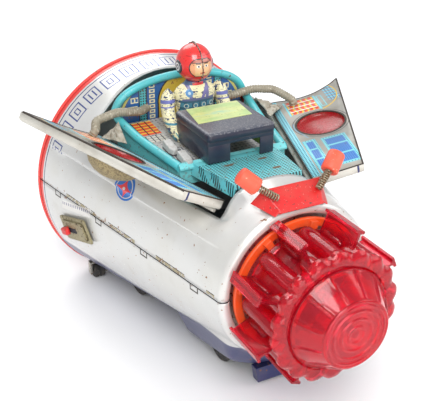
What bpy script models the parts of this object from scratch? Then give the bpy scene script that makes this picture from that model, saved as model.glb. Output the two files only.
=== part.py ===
"""Tin space capsule with a rising cockpit, two gull-wing doors and a turning nose.

The nose points along -Y, +Z is up and the origin is on the ground under the middle
of the toy. Lengths below are in millimetres and become metres through MM.
"""

import math

import bmesh
import bpy
from mathutils import Matrix, Vector

MM = 0.001
GAP = 0.3

# The doors rest at unequal angles, so the symmetry plane lies this far off centre.
CENTRE_SHIFT = Vector((-2.26, 0.0, 0.0))

# Body: a tapered drum that lies on its side, flattened underneath.
REAR_Y = 108.0
FRONT_Y = -60.75
REAR_R = 75.0
FRONT_R = 42.0
REAR_Z = 64.0
AXIS_Z = 70.2
BELLY_Z = 7.0
TIN = 1.0
CREASE_Z = 92.5
COLLAR_R = 3.2

# Cockpit opening, between the rear band and the front deck.
OPENING_REAR_Y = 85.5
OPENING_LEAN = 24.5
LEAN_END_Y = 42.0
OPENING_FRONT_Y = -37.5

# Door hinge line of the right-hand door; the left one is its mirror image.
HINGE_REAR = Vector((61.4, 78.0, 109.3))
HINGE_FRONT = Vector((27.2, -34.5, 102.9))
DOOR_THICK = 5.2
DOOR_OPEN = {-1: 28.2, 1: 12.0}
HINGE_PIN_R = 1.1
LENS_S = 62.0
LENS_Q = 21.0
LENS_R = 14.6

# Cockpit lift.
TRAY_FLOOR_Z = 102.0
TRAY_RIM = 4.5
CONSOLE_FOOT_Z = 114.0
LIFT_Y = 57.5
SEAT_Y = 62.0
SEAT_HALF_W = 42.0
SEAT_TOP_Z = 139.8
SEAT_SPRING_Z = 114.0

# Nose rotor.
RING_R = 34.8
RING_Y = -65.0
DRUM_R = 27.5
FIN_R = 40.2
FIN_REAR_Y = -65.6
FIN_FRONT_Y = -90.4
DISC_R = 33.8
DISC_Y = -95.4
NOSE_R = 16.4
NOSE_Y = -113.0
BLADES = 8

# Running gear.
REAR_WHEEL_R = 15.0
REAR_WHEEL_X = 28.4
REAR_AXLE_Y = 66.0
FRONT_WHEEL_R = 13.0
FRONT_WHEEL_X = 15.0
BOGIE_Y = -17.0
BOGIE_HOLE_R = 24.0
POD_DEPTH = 12.0
SKID_TOP_Z = 11.6
AXLE_R = 1.4
ROLLER_R = 4.6
ROLLER_X = 46.0
ROLLER_Y = 96.0

# Gears on the rear axle and the motor.
GEAR_MODULE = 1.0
AXLE_TEETH = 20
PINION_TEETH = 8
GEAR_X = 10.5
GEAR_PITCH_GAP = 0.25

# Batteries.
CELL_R = 17.0
CELL_LENGTH = 61.5
CELL_Z = 44.6
CELL_YS = (-2.0, 33.2)

WHITE_TIN = ((0.80, 0.79, 0.74), 0.35, 0.3)
NAVY_TIN = ((0.05, 0.06, 0.16), 0.4, 0.3)
RED_TIN = ((0.75, 0.04, 0.04), 0.35, 0.2)
CYAN_TIN = ((0.13, 0.62, 0.66), 0.4, 0.2)
BARE_TIN = ((0.62, 0.60, 0.55), 0.35, 0.9)
AGED_TIN = ((0.42, 0.37, 0.24), 0.45, 0.7)
BLACK = ((0.03, 0.03, 0.03), 0.55, 0.0)
RED_PLASTIC = ((0.70, 0.02, 0.04), 0.12, 0.0)
ORANGE_PLASTIC = ((0.95, 0.16, 0.03), 0.3, 0.0)
CORAL_PLASTIC = ((0.95, 0.22, 0.16), 0.4, 0.0)
CREAM = ((0.86, 0.80, 0.55), 0.45, 0.0)
SCREEN_GREEN = ((0.62, 0.75, 0.35), 0.4, 0.0)
CLOTH = ((0.42, 0.38, 0.32), 0.9, 0.0)
SPRING_STEEL = ((0.46, 0.43, 0.36), 0.4, 0.8)
AMBER_LENS = ((0.45, 0.36, 0.16), 0.3, 0.0)
GLASS = ((0.9, 0.88, 0.8), 0.1, 0.0)
GREY_STEEL = ((0.35, 0.35, 0.36), 0.4, 0.8)


def clear_scene():
    for item in list(bpy.data.objects):
        bpy.data.objects.remove(item, do_unlink=True)


def finish_for(name, look):
    colour, roughness, metallic = look
    material = bpy.data.materials.new(name)
    material.use_nodes = True
    shader = material.node_tree.nodes["Principled BSDF"]
    shader.inputs["Base Color"].default_value = (*colour, 1.0)
    shader.inputs["Roughness"].default_value = roughness
    shader.inputs["Metallic"].default_value = metallic
    return material


def add_object(name, bm, look, origin=(0.0, 0.0, 0.0), smooth=True, clean=True):
    """Make one named object from a mesh drawn in world millimetres."""
    if clean:
        bmesh.ops.remove_doubles(bm, verts=bm.verts, dist=1e-4)
        bmesh.ops.recalc_face_normals(bm, faces=bm.faces)
    base = Vector(origin)
    for vert in bm.verts:
        vert.co = (vert.co - base) * MM
    mesh = bpy.data.meshes.new(name)
    bm.to_mesh(mesh)
    bm.free()
    if smooth:
        mesh.shade_smooth()
        mesh.set_sharp_from_angle(angle=math.radians(35))
    obj = bpy.data.objects.new(name, mesh)
    obj.location = (base + CENTRE_SHIFT) * MM
    obj.data.materials.append(finish_for(name, look))
    bpy.context.scene.collection.objects.link(obj)
    return obj


def cutter(name, bm):
    obj = add_object(name, bm, BARE_TIN, smooth=False)
    obj.hide_render = True
    obj.display_type = "WIRE"
    return obj


def cut(obj, tool, operation="DIFFERENCE"):
    modifier = obj.modifiers.new(tool.name, "BOOLEAN")
    modifier.operation = operation
    modifier.object = tool
    modifier.solver = "EXACT"


def thicken(obj, thickness, offset=-1.0):
    modifier = obj.modifiers.new("wall", "SOLIDIFY")
    modifier.thickness = thickness * MM
    modifier.offset = offset
    modifier.use_even_offset = True


def ring_edges(bm, points):
    verts = [bm.verts.new(p) for p in points]
    edges = [bm.edges.new((verts[i - 1], verts[i])) for i in range(len(verts))]
    return verts, edges


def loft(loops):
    """Bridge a row of equal closed loops and cap both ends."""
    bm = bmesh.new()
    rings = [ring_edges(bm, points) for points in loops]
    for (_, first), (_, second) in zip(rings, rings[1:]):
        bmesh.ops.bridge_loops(bm, edges=first + second)
    bm.faces.new(rings[0][0])
    bm.faces.new(rings[-1][0])
    return bm


def prism(outline, depth):
    """Extrude a flat outline of points by a depth vector."""
    bm = bmesh.new()
    face = bm.faces.new([bm.verts.new(p) for p in outline])
    made = bmesh.ops.extrude_face_region(bm, geom=[face])
    moved = [g for g in made["geom"] if isinstance(g, bmesh.types.BMVert)]
    bmesh.ops.translate(bm, verts=moved, vec=Vector(depth))
    return bm


def add_block(bm, low, high):
    low = Vector(low)
    size = Vector(high) - low
    for vert in bmesh.ops.create_cube(bm, size=1.0)["verts"]:
        vert.co = low + Vector(((vert.co[i] + 0.5) * size[i] for i in range(3)))


def block(low, high):
    bm = bmesh.new()
    add_block(bm, low, high)
    return bm


def turned(profile, steps, centre, axis):
    """Spin a closed profile of (radius, height) points about an axis through centre."""
    bm = bmesh.new()
    _, edges = ring_edges(bm, [(r, 0.0, h) for r, h in profile])
    bmesh.ops.spin(
        bm, geom=bm.verts[:] + edges, angle=math.tau, steps=steps,
        axis=(0.0, 0.0, 1.0), cent=(0.0, 0.0, 0.0), use_merge=True,
    )
    bmesh.ops.remove_doubles(bm, verts=bm.verts, dist=1e-4)
    loose = [e for e in bm.edges if not e.link_faces]
    bmesh.ops.delete(bm, geom=loose, context="EDGES")
    bmesh.ops.recalc_face_normals(bm, faces=bm.faces)
    turn = Vector((0.0, 0.0, 1.0)).rotation_difference(Vector(axis)).to_matrix().to_4x4()
    bmesh.ops.transform(bm, matrix=Matrix.Translation(Vector(centre)) @ turn, verts=bm.verts)
    return bm


def rod(start, end, radius, steps=16):
    start = Vector(start)
    span = Vector(end) - start
    profile = [(0.0, 0.0), (radius, 0.0), (radius, span.length), (0.0, span.length)]
    return turned(profile, steps, start, span)


def tube(start, end, outer, inner, steps=20):
    start = Vector(start)
    span = Vector(end) - start
    profile = [(inner, 0.0), (outer, 0.0), (outer, span.length), (inner, span.length)]
    return turned(profile, steps, start, span)


def smooth_step(value):
    value = min(1.0, max(0.0, value))
    return value * value * (3.0 - 2.0 * value)


def soft_floor(value, floor, softness=2.0):
    """The larger of value and floor, rounded over where they meet."""
    return floor + 0.5 * (value - floor + math.hypot(value - floor, softness))


# ---------------------------------------------------------------- body section

def body_share(y):
    return (REAR_Y - y) / (REAR_Y - FRONT_Y)


def body_radius(y):
    return REAR_R + (FRONT_R - REAR_R) * body_share(y)


def body_centre_z(y):
    return REAR_Z + (AXIS_Z - REAR_Z) * body_share(y)


def hinge_point(y):
    share = (HINGE_REAR.y - y) / (HINGE_REAR.y - HINGE_FRONT.y)
    return HINGE_REAR.lerp(HINGE_FRONT, share)


def lip_point(y):
    """Edge of the cockpit opening: the shell's own circle, or its turned-up lip."""
    point = hinge_point(y)
    lip = Vector((point.x + 1.6, point.z - 3.4))
    radius = body_radius(y)
    centre = body_centre_z(y)
    angle = math.atan2(lip.x, lip.y - centre)
    on_circle = Vector((radius * math.sin(angle), centre + radius * math.cos(angle)))
    rear = smooth_step((OPENING_REAR_Y + 2.0 - y) / 24.0)
    front = smooth_step((y - OPENING_FRONT_Y + 14.0) / 16.0)
    return on_circle.lerp(lip, min(rear, front))


def upper_point(share, y, seam_z):
    """Half of the upper section: 0 at the seam, 1 at the crease, 2 at the lip, 3 on top."""
    radius = body_radius(y)
    centre = body_centre_z(y)
    seam = math.acos((seam_z - centre) / radius)
    crease = math.acos((CREASE_Z - centre) / radius)
    lip = lip_point(y)
    if share <= 1.0:
        angle = seam + (crease - seam) * share
        return Vector((radius * math.sin(angle), centre + radius * math.cos(angle)))
    step = 1.2 * smooth_step((REAR_Y - y) / 20.0) * smooth_step((y - FRONT_Y) / 20.0)
    if share <= 2.0:
        local = share - 1.0
        edge = Vector((radius * math.sin(crease), centre + radius * math.cos(crease)))
        chord = edge.lerp(lip, local)
        offset = chord - Vector((0.0, centre))
        reach = offset.length + (radius - offset.length) * 4.0 * local * (1.0 - local) * 0.5
        rise = step * smooth_step(local * 6.0) * (1.0 - smooth_step(local * 1.6 - 0.6))
        return Vector((0.0, centre)) + offset.normalized() * (reach + rise)
    local = share - 2.0
    lip_angle = math.atan2(lip.x, lip.y - centre)
    lip_reach = (lip - Vector((0.0, centre))).length
    angle = lip_angle * (1.0 - local)
    reach = lip_reach + (radius - lip_reach) * smooth_step(local * 2.0)
    return Vector((reach * math.sin(angle), centre + reach * math.cos(angle)))


def pod_depth(x, y):
    """How far the fender pod over the front wheels hangs below the belly."""
    across = smooth_step((34.0 - abs(x)) / 8.0)
    rear = smooth_step((11.0 - y) / 9.0)
    front = smooth_step((y + 58.0) / 12.0)
    return POD_DEPTH * across * rear * front


def lower_point(angle, y):
    """A point of the lower section; the angle runs down from the top of the circle."""
    radius = body_radius(y)
    centre = body_centre_z(y)
    x = radius * math.sin(angle)
    z = centre + radius * math.cos(angle)
    if z > AXIS_Z - 12.0:
        return Vector((x, z))
    z = soft_floor(z - pod_depth(x, y), BELLY_Z)
    return Vector((x, z))


def shell_rows():
    """Stations along the body, rear to front, then round the collar: (y, radius cut)."""
    ys = [REAR_Y, 101.0, 93.0, OPENING_REAR_Y, 78.0, 66.0, 54.0, 42.0, 27.0, 20.0, 12.0, 2.0]
    ys += [-12.0, -27.0, OPENING_FRONT_Y, -46.0, -53.0, FRONT_Y]
    rows = [(y, 0.0) for y in ys]
    for step in range(1, 6):
        turn = math.pi * step / 5.0
        rows.append((FRONT_Y - COLLAR_R * math.sin(turn), COLLAR_R * (1.0 - math.cos(turn))))
    return rows


def lean_row(y, share):
    """Rows beside the opening's rear edge lean forward towards its low ends."""
    span = OPENING_REAR_Y - LEAN_END_Y if y < OPENING_REAR_Y else REAR_Y - OPENING_REAR_Y
    window = smooth_step(1.0 - abs(y - OPENING_REAR_Y) / span)
    fade = (3.0 - share) ** 2 if share >= 2.0 else smooth_step((share - 1.2) / 0.8)
    return y - OPENING_LEAN * window * fade


def collar_point(angle, y, cut_back):
    radius = FRONT_R - cut_back
    return Vector((radius * math.sin(angle), y, AXIS_Z + radius * math.cos(angle)))


def grid(columns, rows):
    """A grid whose vertices carry their own column and row numbers."""
    bm = bmesh.new()
    bmesh.ops.create_grid(bm, x_segments=columns, y_segments=rows, size=1.0)
    place = {}
    for vert in bm.verts:
        column = round((vert.co.x + 1.0) / 2.0 * columns)
        row = round((vert.co.y + 1.0) / 2.0 * rows)
        place[vert] = (column, row)
    return bm, place


def open_faces(bm, place, is_open):
    """Delete the grid faces whose corner numbers all fall in an opening."""
    gone = []
    for face in bm.faces:
        columns = [place[v][0] for v in face.verts]
        rows = [place[v][1] for v in face.verts]
        if is_open(min(columns), max(columns), min(rows), max(rows)):
            gone.append(face)
    bmesh.ops.delete(bm, geom=gone, context="FACES")


UPPER_SHARES = [0.0, 0.34, 0.67, 1.0, 1.12, 1.45, 1.75, 2.0, 2.2, 2.45, 2.72, 3.0]


def make_upper_shell():
    rows = shell_rows()
    half = len(UPPER_SHARES) - 1
    lip_column = UPPER_SHARES.index(2.0)
    seam_z = AXIS_Z + GAP / 2.0
    bm, place = grid(2 * half, len(rows) - 1)
    for vert, (column, row) in place.items():
        side = -1.0 if column < half else 1.0
        share = UPPER_SHARES[column if column < half else 2 * half - column]
        y, cut_back = rows[row]
        if y >= FRONT_Y - 1e-6 and cut_back == 0.0:
            y = lean_row(y, share)
            flat = upper_point(share, y, seam_z)
            vert.co = Vector((side * flat.x, y, flat.y))
            continue
        flat = upper_point(share, FRONT_Y, seam_z)
        angle = math.atan2(flat.x, flat.y - AXIS_Z)
        vert.co = collar_point(side * angle, y, cut_back)
    first = [y for y, _ in rows].index(OPENING_REAR_Y)
    last = [y for y, _ in rows].index(OPENING_FRONT_Y)

    def in_opening(low_c, high_c, low_r, high_r):
        inside = lip_column <= low_c and high_c <= 2 * half - lip_column
        return inside and first <= low_r and high_r <= last

    open_faces(bm, place, in_opening)
    shell = add_object("upper_shell", bm, WHITE_TIN)
    if shell.data.polygons[0].normal.x > 0.0:
        shell.data.flip_normals()
    thicken(shell, TIN)
    return shell


LOWER_STEPS = 26
BATTERY_COLUMNS = (9, 17)
BATTERY_ROWS = (7, 10)


def lower_angle(column, y, seam_z):
    seam = math.acos((seam_z - body_centre_z(y)) / body_radius(y))
    return seam + (math.tau - 2.0 * seam) * column / LOWER_STEPS


def make_lower_shell():
    rows = shell_rows()
    seam_z = AXIS_Z - GAP / 2.0
    bm, place = grid(LOWER_STEPS, len(rows) - 1)
    for vert, (column, row) in place.items():
        y, cut_back = rows[row]
        if y >= FRONT_Y - 1e-6 and cut_back == 0.0:
            flat = lower_point(lower_angle(column, y, seam_z), y)
            vert.co = Vector((flat.x, y, flat.y))
            continue
        vert.co = collar_point(lower_angle(column, FRONT_Y, seam_z), y, cut_back)

    def in_hatch(low_c, high_c, low_r, high_r):
        across = BATTERY_COLUMNS[0] <= low_c and high_c <= BATTERY_COLUMNS[1]
        return across and BATTERY_ROWS[0] <= low_r and high_r <= BATTERY_ROWS[1]

    open_faces(bm, place, in_hatch)
    shell = add_object("lower_shell", bm, WHITE_TIN)
    if shell.data.polygons[0].normal.x < 0.0:
        shell.data.flip_normals()
    thicken(shell, TIN)
    tool = rod((0.0, BOGIE_Y, 3.0), (0.0, BOGIE_Y, 16.0), BOGIE_HOLE_R, 32)
    for side in (-1.0, 1.0):
        x = side * REAR_WHEEL_X
        add_block(tool, (x - 5.3, REAR_AXLE_Y - 17.4, 2.0), (x + 5.3, REAR_AXLE_Y + 17.4, 26.0))
        x = side * ROLLER_X
        add_block(tool, (x - 6.8, ROLLER_Y - 6.2, 2.0), (x + 6.8, ROLLER_Y + 6.2, 18.0))
    add_block(tool, (GEAR_X - 3.4, REAR_AXLE_Y - 12.0, 2.0), (GEAR_X + 3.4, REAR_AXLE_Y + 12.0, 20.0))
    cut(shell, cutter("wheel_well_cutter", tool))
    return shell


def make_battery_door():
    rows = shell_rows()
    seam_z = AXIS_Z - GAP / 2.0
    first, last = BATTERY_ROWS
    columns = BATTERY_COLUMNS[1] - BATTERY_COLUMNS[0]
    bm, place = grid(columns, last - first)
    rear_y = rows[first][0] - 0.5
    front_y = rows[last][0] + 0.5
    for vert, (column, row) in place.items():
        y = rows[first + row][0]
        y = min(rear_y, max(front_y, y))
        inset = 0.15 if column == 0 else -0.15 if column == columns else 0.0
        flat = lower_point(lower_angle(BATTERY_COLUMNS[0] + column + inset, y, seam_z), y)
        vert.co = Vector((flat.x, y, flat.y))
    hinge = (0.0, rear_y + 0.25, BELLY_Z + 0.2)
    door = add_object("battery_door", bm, NAVY_TIN, origin=hinge)
    if door.data.polygons[0].normal.z > 0.0:
        door.data.flip_normals()
    thicken(door, TIN)
    return door


def rear_outline(inset, y):
    """The body's rear outline, moved in by an inset."""
    points = []
    for step in range(48):
        angle = math.tau * step / 48
        radius = REAR_R - inset
        x = radius * math.sin(angle)
        z = soft_floor(REAR_Z + radius * math.cos(angle), BELLY_Z + inset)
        points.append((x, y, z))
    return points


def make_rear_end():
    bm = loft([rear_outline(3.6, REAR_Y - 5.0), rear_outline(3.6, REAR_Y - 4.0),
               rear_outline(3.6, REAR_Y), rear_outline(9.0, REAR_Y + 0.8),
               rear_outline(12.0, REAR_Y + 2.6), rear_outline(40.0, REAR_Y + 5.0)])
    add_object("rear_cover", bm, NAVY_TIN)
    bm = bmesh.new()
    loops = []
    for inset, y in ((3.2, GAP), (-0.5, GAP), (-0.9, 1.5), (-0.5, 2.7), (3.2, 2.7)):
        loops.append(ring_edges(bm, rear_outline(inset, REAR_Y + y))[1])
    for first, second in zip(loops, loops[1:] + loops[:1]):
        bmesh.ops.bridge_loops(bm, edges=first + second)
    add_object("rear_rim", bm, RED_TIN)


# ---------------------------------------------------------------- doors

def door_frame(side):
    """Origin, along, outward and inner-face directions of an open door."""
    mirror = Vector((side, 1.0, 1.0))
    along = (HINGE_FRONT - HINGE_REAR).normalized()
    flat = along.cross(Vector((0.0, 0.0, 1.0))).normalized()
    flat = flat if flat.x > 0.0 else -flat
    rise = flat.cross(along).normalized()
    rise = rise if rise.z > 0.0 else -rise
    angle = math.radians(DOOR_OPEN[side])
    outward = flat * math.cos(angle) + rise * math.sin(angle)
    inner = rise * math.cos(angle) - flat * math.sin(angle)
    return tuple(v * mirror for v in (HINGE_REAR, along, outward, inner))


def door_point(side, s, q, height=0.0):
    """A point s along the hinge, q outward from it and height above the outer skin."""
    origin, along, outward, inner = door_frame(side)
    return origin + along * s + outward * q + inner * height


def door_outline(inset=0.0):
    """Outline of a door in its own plane as (s, q): rear edge hollow, corners cut."""
    points = [(22.0 + inset, inset)]
    rear = [(24.4, 9.0), (25.4, 18.0), (24.2, 27.0), (19.2, 36.5), (11.5, 45.8)]
    points += [(s + inset, q) for s, q in rear[:-1]]
    points.append((rear[-1][0] + inset, rear[-1][1] - inset))
    points.append((116.6 - inset, 26.2 - inset))
    points.append((119.0 - inset, inset))
    return points


def make_door(side, prefix):
    origin, along, outward, inner = door_frame(side)
    skin_top = DOOR_THICK - 1.3
    outline = [door_point(side, s, q, GAP) for s, q in door_outline()]
    bm = prism(outline, inner * (skin_top - GAP))
    top = max(bm.faces, key=lambda f: f.calc_center_median().dot(inner) if len(f.verts) > 4 else -1e9)
    bmesh.ops.inset_region(bm, faces=[top], thickness=1.2, use_even_offset=True)
    bmesh.ops.translate(bm, verts=top.verts, vec=-inner * (skin_top - GAP - 1.2))
    skin = add_object(f"{prefix}_door_skin", bm, WHITE_TIN, origin=origin)
    hole = turned([(0.0, -2.0), (LENS_R + GAP, -2.0), (LENS_R + GAP, 8.0), (0.0, 8.0)], 32,
                  door_point(side, LENS_S, LENS_Q), inner)
    lens_tool = cutter(f"{prefix}_lens_cutter", hole)
    cut(skin, lens_tool)
    outline = [door_point(side, s, q, skin_top + GAP) for s, q in door_outline()]
    liner = add_object(f"{prefix}_door_liner", prism(outline, inner * (1.3 - GAP)), WHITE_TIN,
                       origin=origin, smooth=False)
    cut(liner, lens_tool)
    profile = [(0.0, -3.4), (6.0, -2.9), (11.0, -1.6), (LENS_R, 0.6), (LENS_R, 3.2),
               (LENS_R - 1.5, 3.2), (LENS_R - 1.5, 1.4), (10.0, -0.2), (5.0, -1.2), (0.0, -1.6)]
    lens = turned(profile, 28, door_point(side, LENS_S, LENS_Q), inner)
    add_object(f"{prefix}_door_lens", lens, RED_PLASTIC, origin=origin)
    pin_height = -HINGE_PIN_R - GAP
    ends = [door_point(side, s, 0.0, pin_height) for s in (19.0, 117.0)]
    pin = rod(*ends, HINGE_PIN_R, 12)
    add_object(f"{prefix}_hinge_pin", pin, BARE_TIN)


# ---------------------------------------------------------------- cockpit

def tray_rim_z(y):
    return 113.2 + 0.07 * y


def make_tray():
    plan = [(30.0, 0.0), (37.0, 36.7), (41.0, 57.0), (38.0, SEAT_Y - GAP)]
    outline = plan + [(-x, y) for x, y in reversed(plan)]
    bm = prism([(x, y, TRAY_FLOOR_Z - 1.5) for x, y in outline], (0.0, 0.0, 12.0))
    for vert in bm.verts:
        if vert.co.z > TRAY_FLOOR_Z:
            vert.co.z = tray_rim_z(vert.co.y)
    top = max(bm.faces, key=lambda f: f.calc_center_median().z)
    bmesh.ops.inset_region(bm, faces=[top], thickness=TRAY_RIM, use_even_offset=True)
    for vert in top.verts:
        vert.co.z = TRAY_FLOOR_Z
    add_object("cockpit_tray", bm, CYAN_TIN, smooth=False)
    apron = [(18.8, -35.8, 113.4), (23.5, -GAP, 112.3), (-23.5, -GAP, 112.3), (-18.8, -35.8, 113.4)]
    add_object("cockpit_apron", prism(apron, (0.0, 0.0, 1.2)), CYAN_TIN, smooth=False)


def seat_outline(inset, y):
    points = [(SEAT_HALF_W - inset, y, TRAY_FLOOR_Z - 1.0 + inset)]
    for step in range(17):
        angle = math.pi * step / 16
        points.append(((SEAT_HALF_W - inset) * math.cos(angle), y,
                       SEAT_SPRING_Z + (SEAT_TOP_Z - SEAT_SPRING_Z - inset) * math.sin(angle)))
    points.append((inset - SEAT_HALF_W, y, TRAY_FLOOR_Z - 1.0 + inset))
    return points


def make_seat_back():
    bm = loft([seat_outline(0.0, SEAT_Y + 5.5), seat_outline(0.0, SEAT_Y), seat_outline(4.0, SEAT_Y),
               seat_outline(4.0, SEAT_Y + 4.0)])
    add_object("seat_back", bm, CYAN_TIN)


def make_console():
    bm = block((-19.5, -8.6, 127.6), (19.5, 30.6, 129.4))
    bmesh.ops.bevel(bm, geom=bm.edges[:], offset=0.5, segments=1, profile=0.5, affect="EDGES", material=-1)
    add_object("console_top", bm, NAVY_TIN, smooth=False)
    wall = 1.2
    deck_z = 127.6 - GAP
    outer = [(-17.5, -4.0), (17.5, -4.0), (17.5, 28.0), (17.5 - wall, 28.0)]
    outer += [(17.5 - wall, -2.8), (6.0, -2.8), (6.0, -1.8), (-5.0, -1.8), (-5.0, -2.8)]
    outer += [(-17.5 + wall, -2.8), (-17.5 + wall, 28.0), (-17.5, 28.0)]
    bm = prism([(x, y, CONSOLE_FOOT_Z) for x, y in outer], (0.0, 0.0, deck_z - CONSOLE_FOOT_Z))
    legs = add_object("console_legs", bm, NAVY_TIN, smooth=False)
    knee = block((-5.0, -6.0, 110.0), (9.5, 8.0, 124.5))
    cut(legs, cutter("knee_cutter", knee))
    bm = block((-16.8, 9.6, 129.4 + GAP), (17.2, 29.8, 130.3))
    add_object("console_screen", bm, SCREEN_GREEN, smooth=False)


def oval(centre, half_x, half_y, z, count=16):
    return [(centre[0] + half_x * math.cos(math.tau * i / count),
             centre[1] + half_y * math.sin(math.tau * i / count), z) for i in range(count)]


def capsule_limb(points, radii, count=10):
    """A limb: round sections square to its path, joined and capped."""
    loops = []
    points = [Vector(p) for p in points]
    for index, (point, radius) in enumerate(zip(points, radii)):
        before = points[max(0, index - 1)]
        after = points[min(len(points) - 1, index + 1)]
        heading = (after - before).normalized()
        side = heading.cross(Vector((0.0, 1.0, 0.2))).normalized()
        other = heading.cross(side)
        loops.append([point + side * radius * math.cos(math.tau * i / count)
                      + other * radius * math.sin(math.tau * i / count) for i in range(count)])
    return loft(loops)


def make_astronaut():
    y = 46.5
    sections = [((0, y - 3), 8.0, 9.5, TRAY_FLOOR_Z + 9.5), ((0, y - 1), 10.0, 8.5, 116.0)]
    sections += [((0, y), 10.8, 7.0, 124.0), ((0, y), 11.8, 6.6, 131.0)]
    sections += [((0, y), 11.0, 6.0, 135.0), ((0, y), 6.0, 4.6, 138.6)]
    bm = loft([oval(c, hx, hy, z) for c, hx, hy, z in sections])
    torso = add_object("astronaut_torso", bm, CREAM)
    bm = bmesh.new()
    bmesh.ops.create_uvsphere(bm, u_segments=20, v_segments=12, radius=1.0)
    for vert in bm.verts:
        vert.co = Vector((vert.co.x * 9.7, vert.co.y * 10.6 + y, max(vert.co.z * 10.6, -9.4) + 149.2))
    helmet = add_object("astronaut_helmet", bm, RED_TIN)
    tab = block((-0.6, y - 1.6, 157.5), (0.6, y + 2.2, 161.2))
    cut(helmet, cutter("helmet_tab", tab), "UNION")
    for side, prefix in ((-1, "right"), (1, "left")):
        path = [(side * 15.4, y, 134.5), (side * 16.8, y - 1.0, 128.0), (side * 17.4, y - 4.5, 121.5),
                (side * 17.2, y - 10.0, 118.0), (side * 16.8, y - 14.0, 116.5)]
        bm = capsule_limb(path, (2.6, 3.7, 3.6, 3.7, 2.6))
        add_object(f"astronaut_{prefix}_arm", bm, CREAM)
    for side, prefix in ((-1, "right"), (1, "left")):
        path = [(side * 4.4, y - 6.0, 114.0), (side * 6.5, y - 14.0, 112.5), (side * 8.6, y - 21.0, 110.0),
                (side * 9.0, y - 24.0, 104.0)]
        thigh = capsule_limb(path, (3.0, 3.4, 3.0, 2.6))
        cut(torso, cutter(f"{prefix}_thigh", thigh), "UNION")


def make_lift():
    column = rod((0.0, LIFT_Y, 51.0), (0.0, LIFT_Y, TRAY_FLOOR_Z - 1.5 - GAP), 3.0)
    add_object("lift_column", column, GREY_STEEL)
    guide = tube((0.0, LIFT_Y, 11.0), (0.0, LIFT_Y, 60.0), 5.2, 3.4)
    add_object("lift_guide", guide, BARE_TIN)


# ---------------------------------------------------------------- hoses and gussets

def smooth_path(points, per_span=5):
    """Catmull-Rom points through a short list of route points."""
    pts = [Vector(p) for p in points]
    pts = [pts[0] * 2 - pts[1]] + pts + [pts[-1] * 2 - pts[-2]]
    out = []
    for i in range(1, len(pts) - 2):
        a, b, c, d = pts[i - 1:i + 3]
        for k in range(per_span):
            t = k / per_span
            out.append(0.5 * ((2 * b) + (c - a) * t + (2 * a - 5 * b + 4 * c - d) * t * t
                              + (3 * b - a - 3 * c + d) * t ** 3))
    out.append(pts[-2])
    return out


def make_hose(side, prefix):
    foot = door_point(side, 31.0, 13.5, DOOR_THICK + 1.0)
    rise = door_point(side, 31.0, 13.0, DOOR_THICK + 4.6)
    route = [foot, rise, (side * 55.5, 52.5, 123.6), (side * 46.0, 55.0, 125.0), (side * 35.6, 56.5, 123.4),
             (side * 26.0, 58.5, 121.6), (side * 20.5, SEAT_Y - GAP, 121.0)]
    curve = bpy.data.curves.new(f"{prefix}_hose", "CURVE")
    curve.dimensions = "3D"
    curve.bevel_depth = 2.4 * MM
    curve.bevel_resolution = 2
    curve.use_fill_caps = True
    spline = curve.splines.new("POLY")
    path = smooth_path(route)
    spline.points.add(len(path) - 1)
    for point, spot in zip(spline.points, path):
        point.co = (*(spot * MM), 1.0)
    curve.materials.append(finish_for(f"{prefix}_hose", SPRING_STEEL))
    obj = bpy.data.objects.new(f"{prefix}_hose", curve)
    obj.location = CENTRE_SHIFT * MM
    bpy.context.scene.collection.objects.link(obj)


def make_gusset(side, prefix):
    top = Vector((side * 43.6, 52.6, 119.0))
    low_in = Vector((side * 45.6, 40.5, 114.2))
    low_out = door_point(side, 31.0, 6.0, DOOR_THICK + 3.0)
    back = Vector((side * 44.6, 56.0, 115.0))
    drop = Vector((0.0, 0.0, -1.8))
    bm = bmesh.new()
    corners = [top, low_in, low_out, back]
    upper = [bm.verts.new(c) for c in corners]
    lower = [bm.verts.new(c + drop) for c in corners]
    bmesh.ops.convex_hull(bm, input=upper + lower)
    add_object(f"{prefix}_gusset", bm, CLOTH, smooth=False)


# ---------------------------------------------------------------- antennas

def make_antenna_bracket():
    """A folded red saddle on the front deck: sloping top, two cheeks, front lip."""
    rear = [(-15.5, -55.1, 119.3), (15.5, -55.1, 119.3)]
    front = [(11.4, -64.9, 111.9), (-11.4, -64.9, 111.9)]
    bm = prism(rear + front, (0.0, 0.0, -1.0))
    bracket = add_object("antenna_bracket", bm, RED_TIN, smooth=False)
    for side in (-1, 1):
        a = Vector((side * 14.9, -55.1, 118.8))
        b = Vector((side * 10.9, -64.9, 111.4))
        c = Vector((side * 13.6, -65.0, 109.6))
        d = Vector((side * 19.6, -52.0, 112.6))
        cheek = prism([a, b, c, d], (side * 0.9, 0.0, 0.0))
        cut(bracket, cutter("cheek", cheek), "UNION")


ANTENNA_BASE = Vector((10.2, -60.6, 115.15))
ANTENNA_KNEE = Vector((19.4, -57.1, 122.3))
ANTENNA_TIP = Vector((26.6, -53.0, 128.8))


def make_antenna(side, prefix):
    mirror = Vector((side, 1.0, 1.0))
    base = ANTENNA_BASE * mirror
    knee = ANTENNA_KNEE * mirror
    tip = ANTENNA_TIP * mirror
    lift = Vector((0.0, -0.603, 0.798))
    path = [base + lift * 1.5, base + lift * 2.5, base.lerp(knee, 0.45) + lift * 1.0, knee]
    spring = capsule_limb(path, (1.9, 1.9, 1.9, 1.9), 12)
    add_object(f"{prefix}_antenna_spring", spring, SPRING_STEEL, origin=base)
    start = knee + (tip - knee).normalized() * GAP
    length = (tip - start).length
    profile = [(0.0, 0.0), (3.8, 0.0), (4.2, 0.5), (4.0, length - 0.6), (3.5, length), (0.0, length)]
    add_object(f"{prefix}_antenna_cap", turned(profile, 20, start, tip - start), CORAL_PLASTIC, origin=base)


# ---------------------------------------------------------------- nose rotor

def around_nose(angle, radius, y):
    return Vector((radius * math.sin(angle), y, AXIS_Z + radius * math.cos(angle)))


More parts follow.
